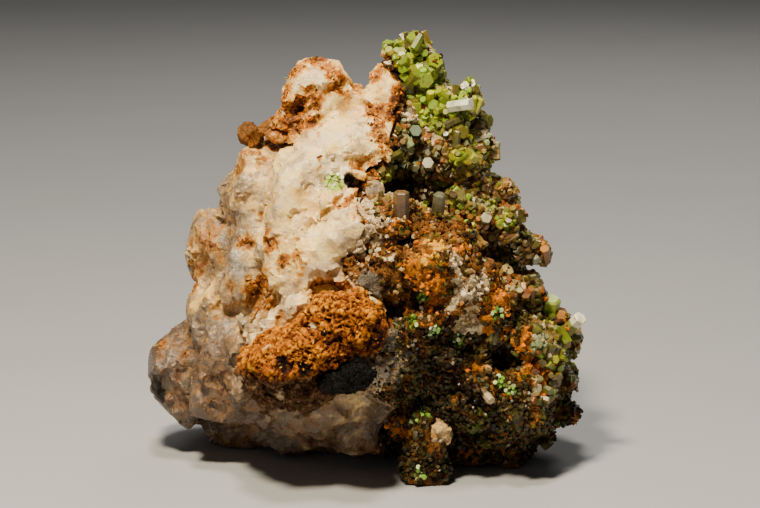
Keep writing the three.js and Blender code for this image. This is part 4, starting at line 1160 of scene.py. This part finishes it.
# The odds of the common colours in each zone
ORE_ODDS = {
    "spire": (0.30, 0.00, 0.10, 0.25, 0.15, 0.15, 0.05), "slope": (0.10, 0.05, 0.15, 0.25, 0.15, 0.20, 0.10),
    "flank": (0.23, 0.00, 0.20, 0.30, 0.15, 0.10, 0.02), "rim": (0.20, 0.00, 0.12, 0.28, 0.20, 0.18, 0.02),
    "shelf": (0.15, 0.00, 0.20, 0.30, 0.20, 0.12, 0.03), "front": (0.05, 0.03, 0.25, 0.32, 0.17, 0.14, 0.04),
    # The centre and the lower zone take mostly dark crumbs: partly their own colour, partly painted shade
    # under the front mass.
    "centre": (0.08, 0.00, 0.62, 0.24, 0.06, 0.00, 0.00), "lower": (0.06, 0.00, 0.56, 0.29, 0.09, 0.00, 0.00),
    "back": (0.14, 0.00, 0.20, 0.32, 0.20, 0.12, 0.02),
}
CRUMB_SHARE = {  # of the tries in a zone, 0.1 of the spire's and the flank's
    "front": 1.0, "centre": 0.8, "lower": 0.6, "shelf": 0.12, "slope": 0.9, "rim": 0.3, "back": 0.04,
}
CRUMB_SHADE = {"centre": 0.55, "lower": 0.55}  # a factor on the colours of a zone's crumbs, away from its spots: painted shade where the centre and the lower part lie in shadow
CRUMB_TRIES, MOST_CRUMBS = 60000, 9600
SEAM_TRIES, MOST_SEAM_CRUMBS = 40000, 1600
STAIN_TRIES, MOST_STAIN_CRUMBS = 60000, 2400
ORE_SPOTS = [  # spots, the share of crumbs on them that take a colour of theirs, and the colours to draw from
    (GOSSAN_ORANGE, 1.1, (ORANGE, ORANGE, FLAME, FLAME, BROWN, BROWN, DARK, SAND)),
    (GOSSAN_PALE, 1.1, (SAND, WHITE, WHITE)),
    (GOSSAN_GREY, 1.0, (GREY, GREY, SAND)),
    (GOSSAN_YELLOW, 1.2, (YELLOW, YELLOW, FLAME)),
    (GOSSAN_SHADE, 1.1, (DARK, DARK, BROWN)),
]
STAIN_COLORS = (BROWN, BROWN, ORANGE, ORANGE, FLAME, SAND)
GRANULAR_COLORS = (GREY, GREY, DARK, BROWN, SAND, WHITE)
ore_look = crumb_material("ore_crumbs")


def ore_colors(at):
    """Colours of crumbs by zone, changed by the spots of the gossan. Neighbours are much alike."""
    strays = strayed(at)
    odds = by_zone(at, ORE_ODDS).cumsum(1)
    mood = moods(at, 1.6, 65) + rng.normal(0, 0.09, len(at))
    pick = (mood[:, None] > odds).sum(1).clip(0, COMMON - 1)
    dim = by_zone(at, CRUMB_SHADE, 1.0)
    for places, share, choices in ORE_SPOTS:
        hit = rng.random(len(at)) < share * near(strays, places)
        pick = np.where(hit, rng.choice(choices, len(at)), pick)
        dim = np.where(hit, 1.0, dim)
    return ORE[pick] * dim[:, None] * rng.uniform(0.75, 1.25, (len(at), 1))


# Crumbs over the crust, mostly where few prisms stand
at, normal = scattered(gossan, CRUMB_TRIES)
keep = rng.random(len(at)) < by_zone(at, CRUMB_SHARE, 0.1)
keep &= (at[:, 2] > 0.7) & (at[:, 1] < 6) & (near(at, GOSSAN_GREY[:1]) < 0.5)
at, normal = at[keep], normal[keep]
radii = mostly_small(len(at), 0.10, 0.44, 2.4)
at = at + normal * (radii * 0.3)[:, None]
keep = clear_of(at, others, 0.45)
at, radii = at[keep][:MOST_CRUMBS], radii[keep][:MOST_CRUMBS]
crumbs("crumbs", at, radii, ore_colors(at), ore_look)

# Crumbs heaped against the feet of the two prisms on the front mass
FEET, AT_EACH_FOOT = [(4.7, -15.0, 34.9), (9.3, -10.9, 34.4)], 80
count = AT_EACH_FOOT * len(FEET)
heap = unit(rng.normal(size=(count, 3))) * (1.1, 0.9, 0.9) * rng.random((count, 1)) ** 0.4
at = heap + np.repeat(FEET, AT_EACH_FOOT, axis=0)
crumbs("foot_crumbs", at, rng.uniform(0.14, 0.36, len(at)), ore_colors(at), ore_look)

# Crumbs that close the join between quartz and gossan
at, _ = scattered(gossan, SEAM_TRIES)
keep = ~clear_of(at, quartz_face, 0.75) & (at[:, 2] > 0.8)
at = at[keep][:MOST_SEAM_CRUMBS]
radii = mostly_small(len(at), 0.16, 0.42, 1.5)
picks = rng.choice(COMMON, len(at), p=(0.02, 0.04, 0.14, 0.26, 0.22, 0.18, 0.14))
crumbs("seam_crumbs", at, radii, varied(ORE[picks]), ore_look)

# Crumbs on the quartz: rusty ones on its stains, and grey, dark and cream ones where it is granular
at, _ = scattered(quartz, STAIN_TRIES)
granular = near(strayed(at), GRANULAR) > 0.5
keep = ((near(strayed(at), QUARTZ_RUST) > 0.62) | granular) & (at[:, 2] > 1)
at, granular = at[keep][:MOST_STAIN_CRUMBS], granular[keep][:MOST_STAIN_CRUMBS]
radii = mostly_small(len(at), 0.07, 0.27, 2)
picks = np.where(granular, rng.choice(GRANULAR_COLORS, len(at)), rng.choice(STAIN_COLORS, len(at)))
crumbs("quartz_crumbs", at, radii, varied(ORE[picks]), ore_look)

# Grains of ochre on the ledge, darker brown below, partly as painted shade on the underside, and black ones
# on the cap
OCHRE = np.array([(0.72, 0.30, 0.025), (0.50, 0.17, 0.015), (0.84, 0.46, 0.08), (0.22, 0.06, 0.012)])
KEEL_BROWN = np.array((0.10, 0.055, 0.028))
at, _ = scattered(ledge, 1000)
tint = varied(OCHRE[rng.choice(4, len(at), p=(0.4, 0.3, 0.15, 0.15))])
tint += (KEEL_BROWN - tint) * keel_share(at)[:, None]
crumbs("ledge_crumbs", at, rng.uniform(0.06, 0.17, len(at)), tint, ore_look)

at, _ = scattered(cap, 500)
crumbs("cap_crumbs", at, rng.uniform(0.10, 0.24, len(at)), np.full((len(at), 3), 0.003), cap_look)


# The neck of the brown ball, and the grey lump of quartz in the cavity
def boulder(name, at, radii, **attributes):
    bm = bmesh.new()
    bmesh.ops.create_icosphere(bm, subdivisions=4, radius=1)
    ball, faces = taken_from(bm)
    bulge = 1 + 0.22 * field(ball, 0.9, 3, 51) + 0.05 * field(ball, 0.2, 2, 52)
    obj = new_piece(name, np.array(at) + ball * radii * bulge[:, None], faces, quartz_look)
    give_numbers(obj, attributes)


boulder("nodule_neck", (-11.2, -1.2, 43.7), (1.5, 1.3, 0.9), aged=0.2, rust=0.6, umber=0.2)
boulder("cavity_lump", (1.4, -9.0, 37.6), (1.3, 1.6, 1.5), aged=0.1, grey=0.45)

# Floor, light and camera
ground = bpy.data.meshes.new("floor")
ground.from_pydata([(-2, -2, 0), (2, -2, 0), (2, 2, 0), (-2, 2, 0)], [], [(0, 1, 2, 3)])
floor = placed("floor", ground)
paper = Nodes("floor")
paper.shade(Base_Color=paper.mix(paper.noise(40.0, 2), (0.40, 0.41, 0.43), (0.44, 0.45, 0.47)), Roughness=0.9)
ground.materials.append(paper.material)

world = bpy.data.worlds.new("studio")
bpy.context.scene.world = world
world.use_nodes = True
background = world.node_tree.nodes["Background"]
background.inputs["Color"].default_value = (0.86, 0.90, 0.96, 1)
background.inputs["Strength"].default_value = 0.05

LAMP_AIM = Vector((0, 0, 0.028))  # the middle of the specimen


def lamp(name, at, size, power, color):
    """A round soft light; its place and size are in metres and its power is in watts."""
    light = bpy.data.lights.new(name, "AREA")
    light.shape = "DISK"
    light.size = size
    light.energy = power
    light.color = color
    obj = placed(name, light)
    obj.location = at
    obj.rotation_euler = (LAMP_AIM - Vector(at)).to_track_quat("-Z", "Y").to_euler()


lamp("key", (-0.04, -0.11, 0.20), 0.03, 0.82, (1.0, 0.85, 0.60))
lamp("sky", (-0.02, -0.10, 0.60), 0.10, 2.6, (1.0, 0.92, 0.80))
lamp("fill", (-0.30, -0.50, 0.16), 0.40, 0.10, (1.0, 0.95, 0.9))
lamp("rim", (0.16, 0.36, 0.40), 0.25, 0.6, (1.0, 0.95, 0.85))

TARGET = Vector((2.175, -0.953, 28.0)) * MM  # the middle of the photograph
ELEVATION = math.radians(12)
DISTANCE = 0.277
camera = placed("camera", bpy.data.cameras.new("camera"))
camera.data.lens, camera.data.sensor_width = 100, 36
camera.data.clip_start, camera.data.clip_end = 0.01, 10
camera.location = TARGET + Vector((0, -math.cos(ELEVATION), math.sin(ELEVATION))) * DISTANCE
camera.rotation_euler = (math.pi / 2 - ELEVATION, 0, 0)
bpy.context.scene.camera = camera
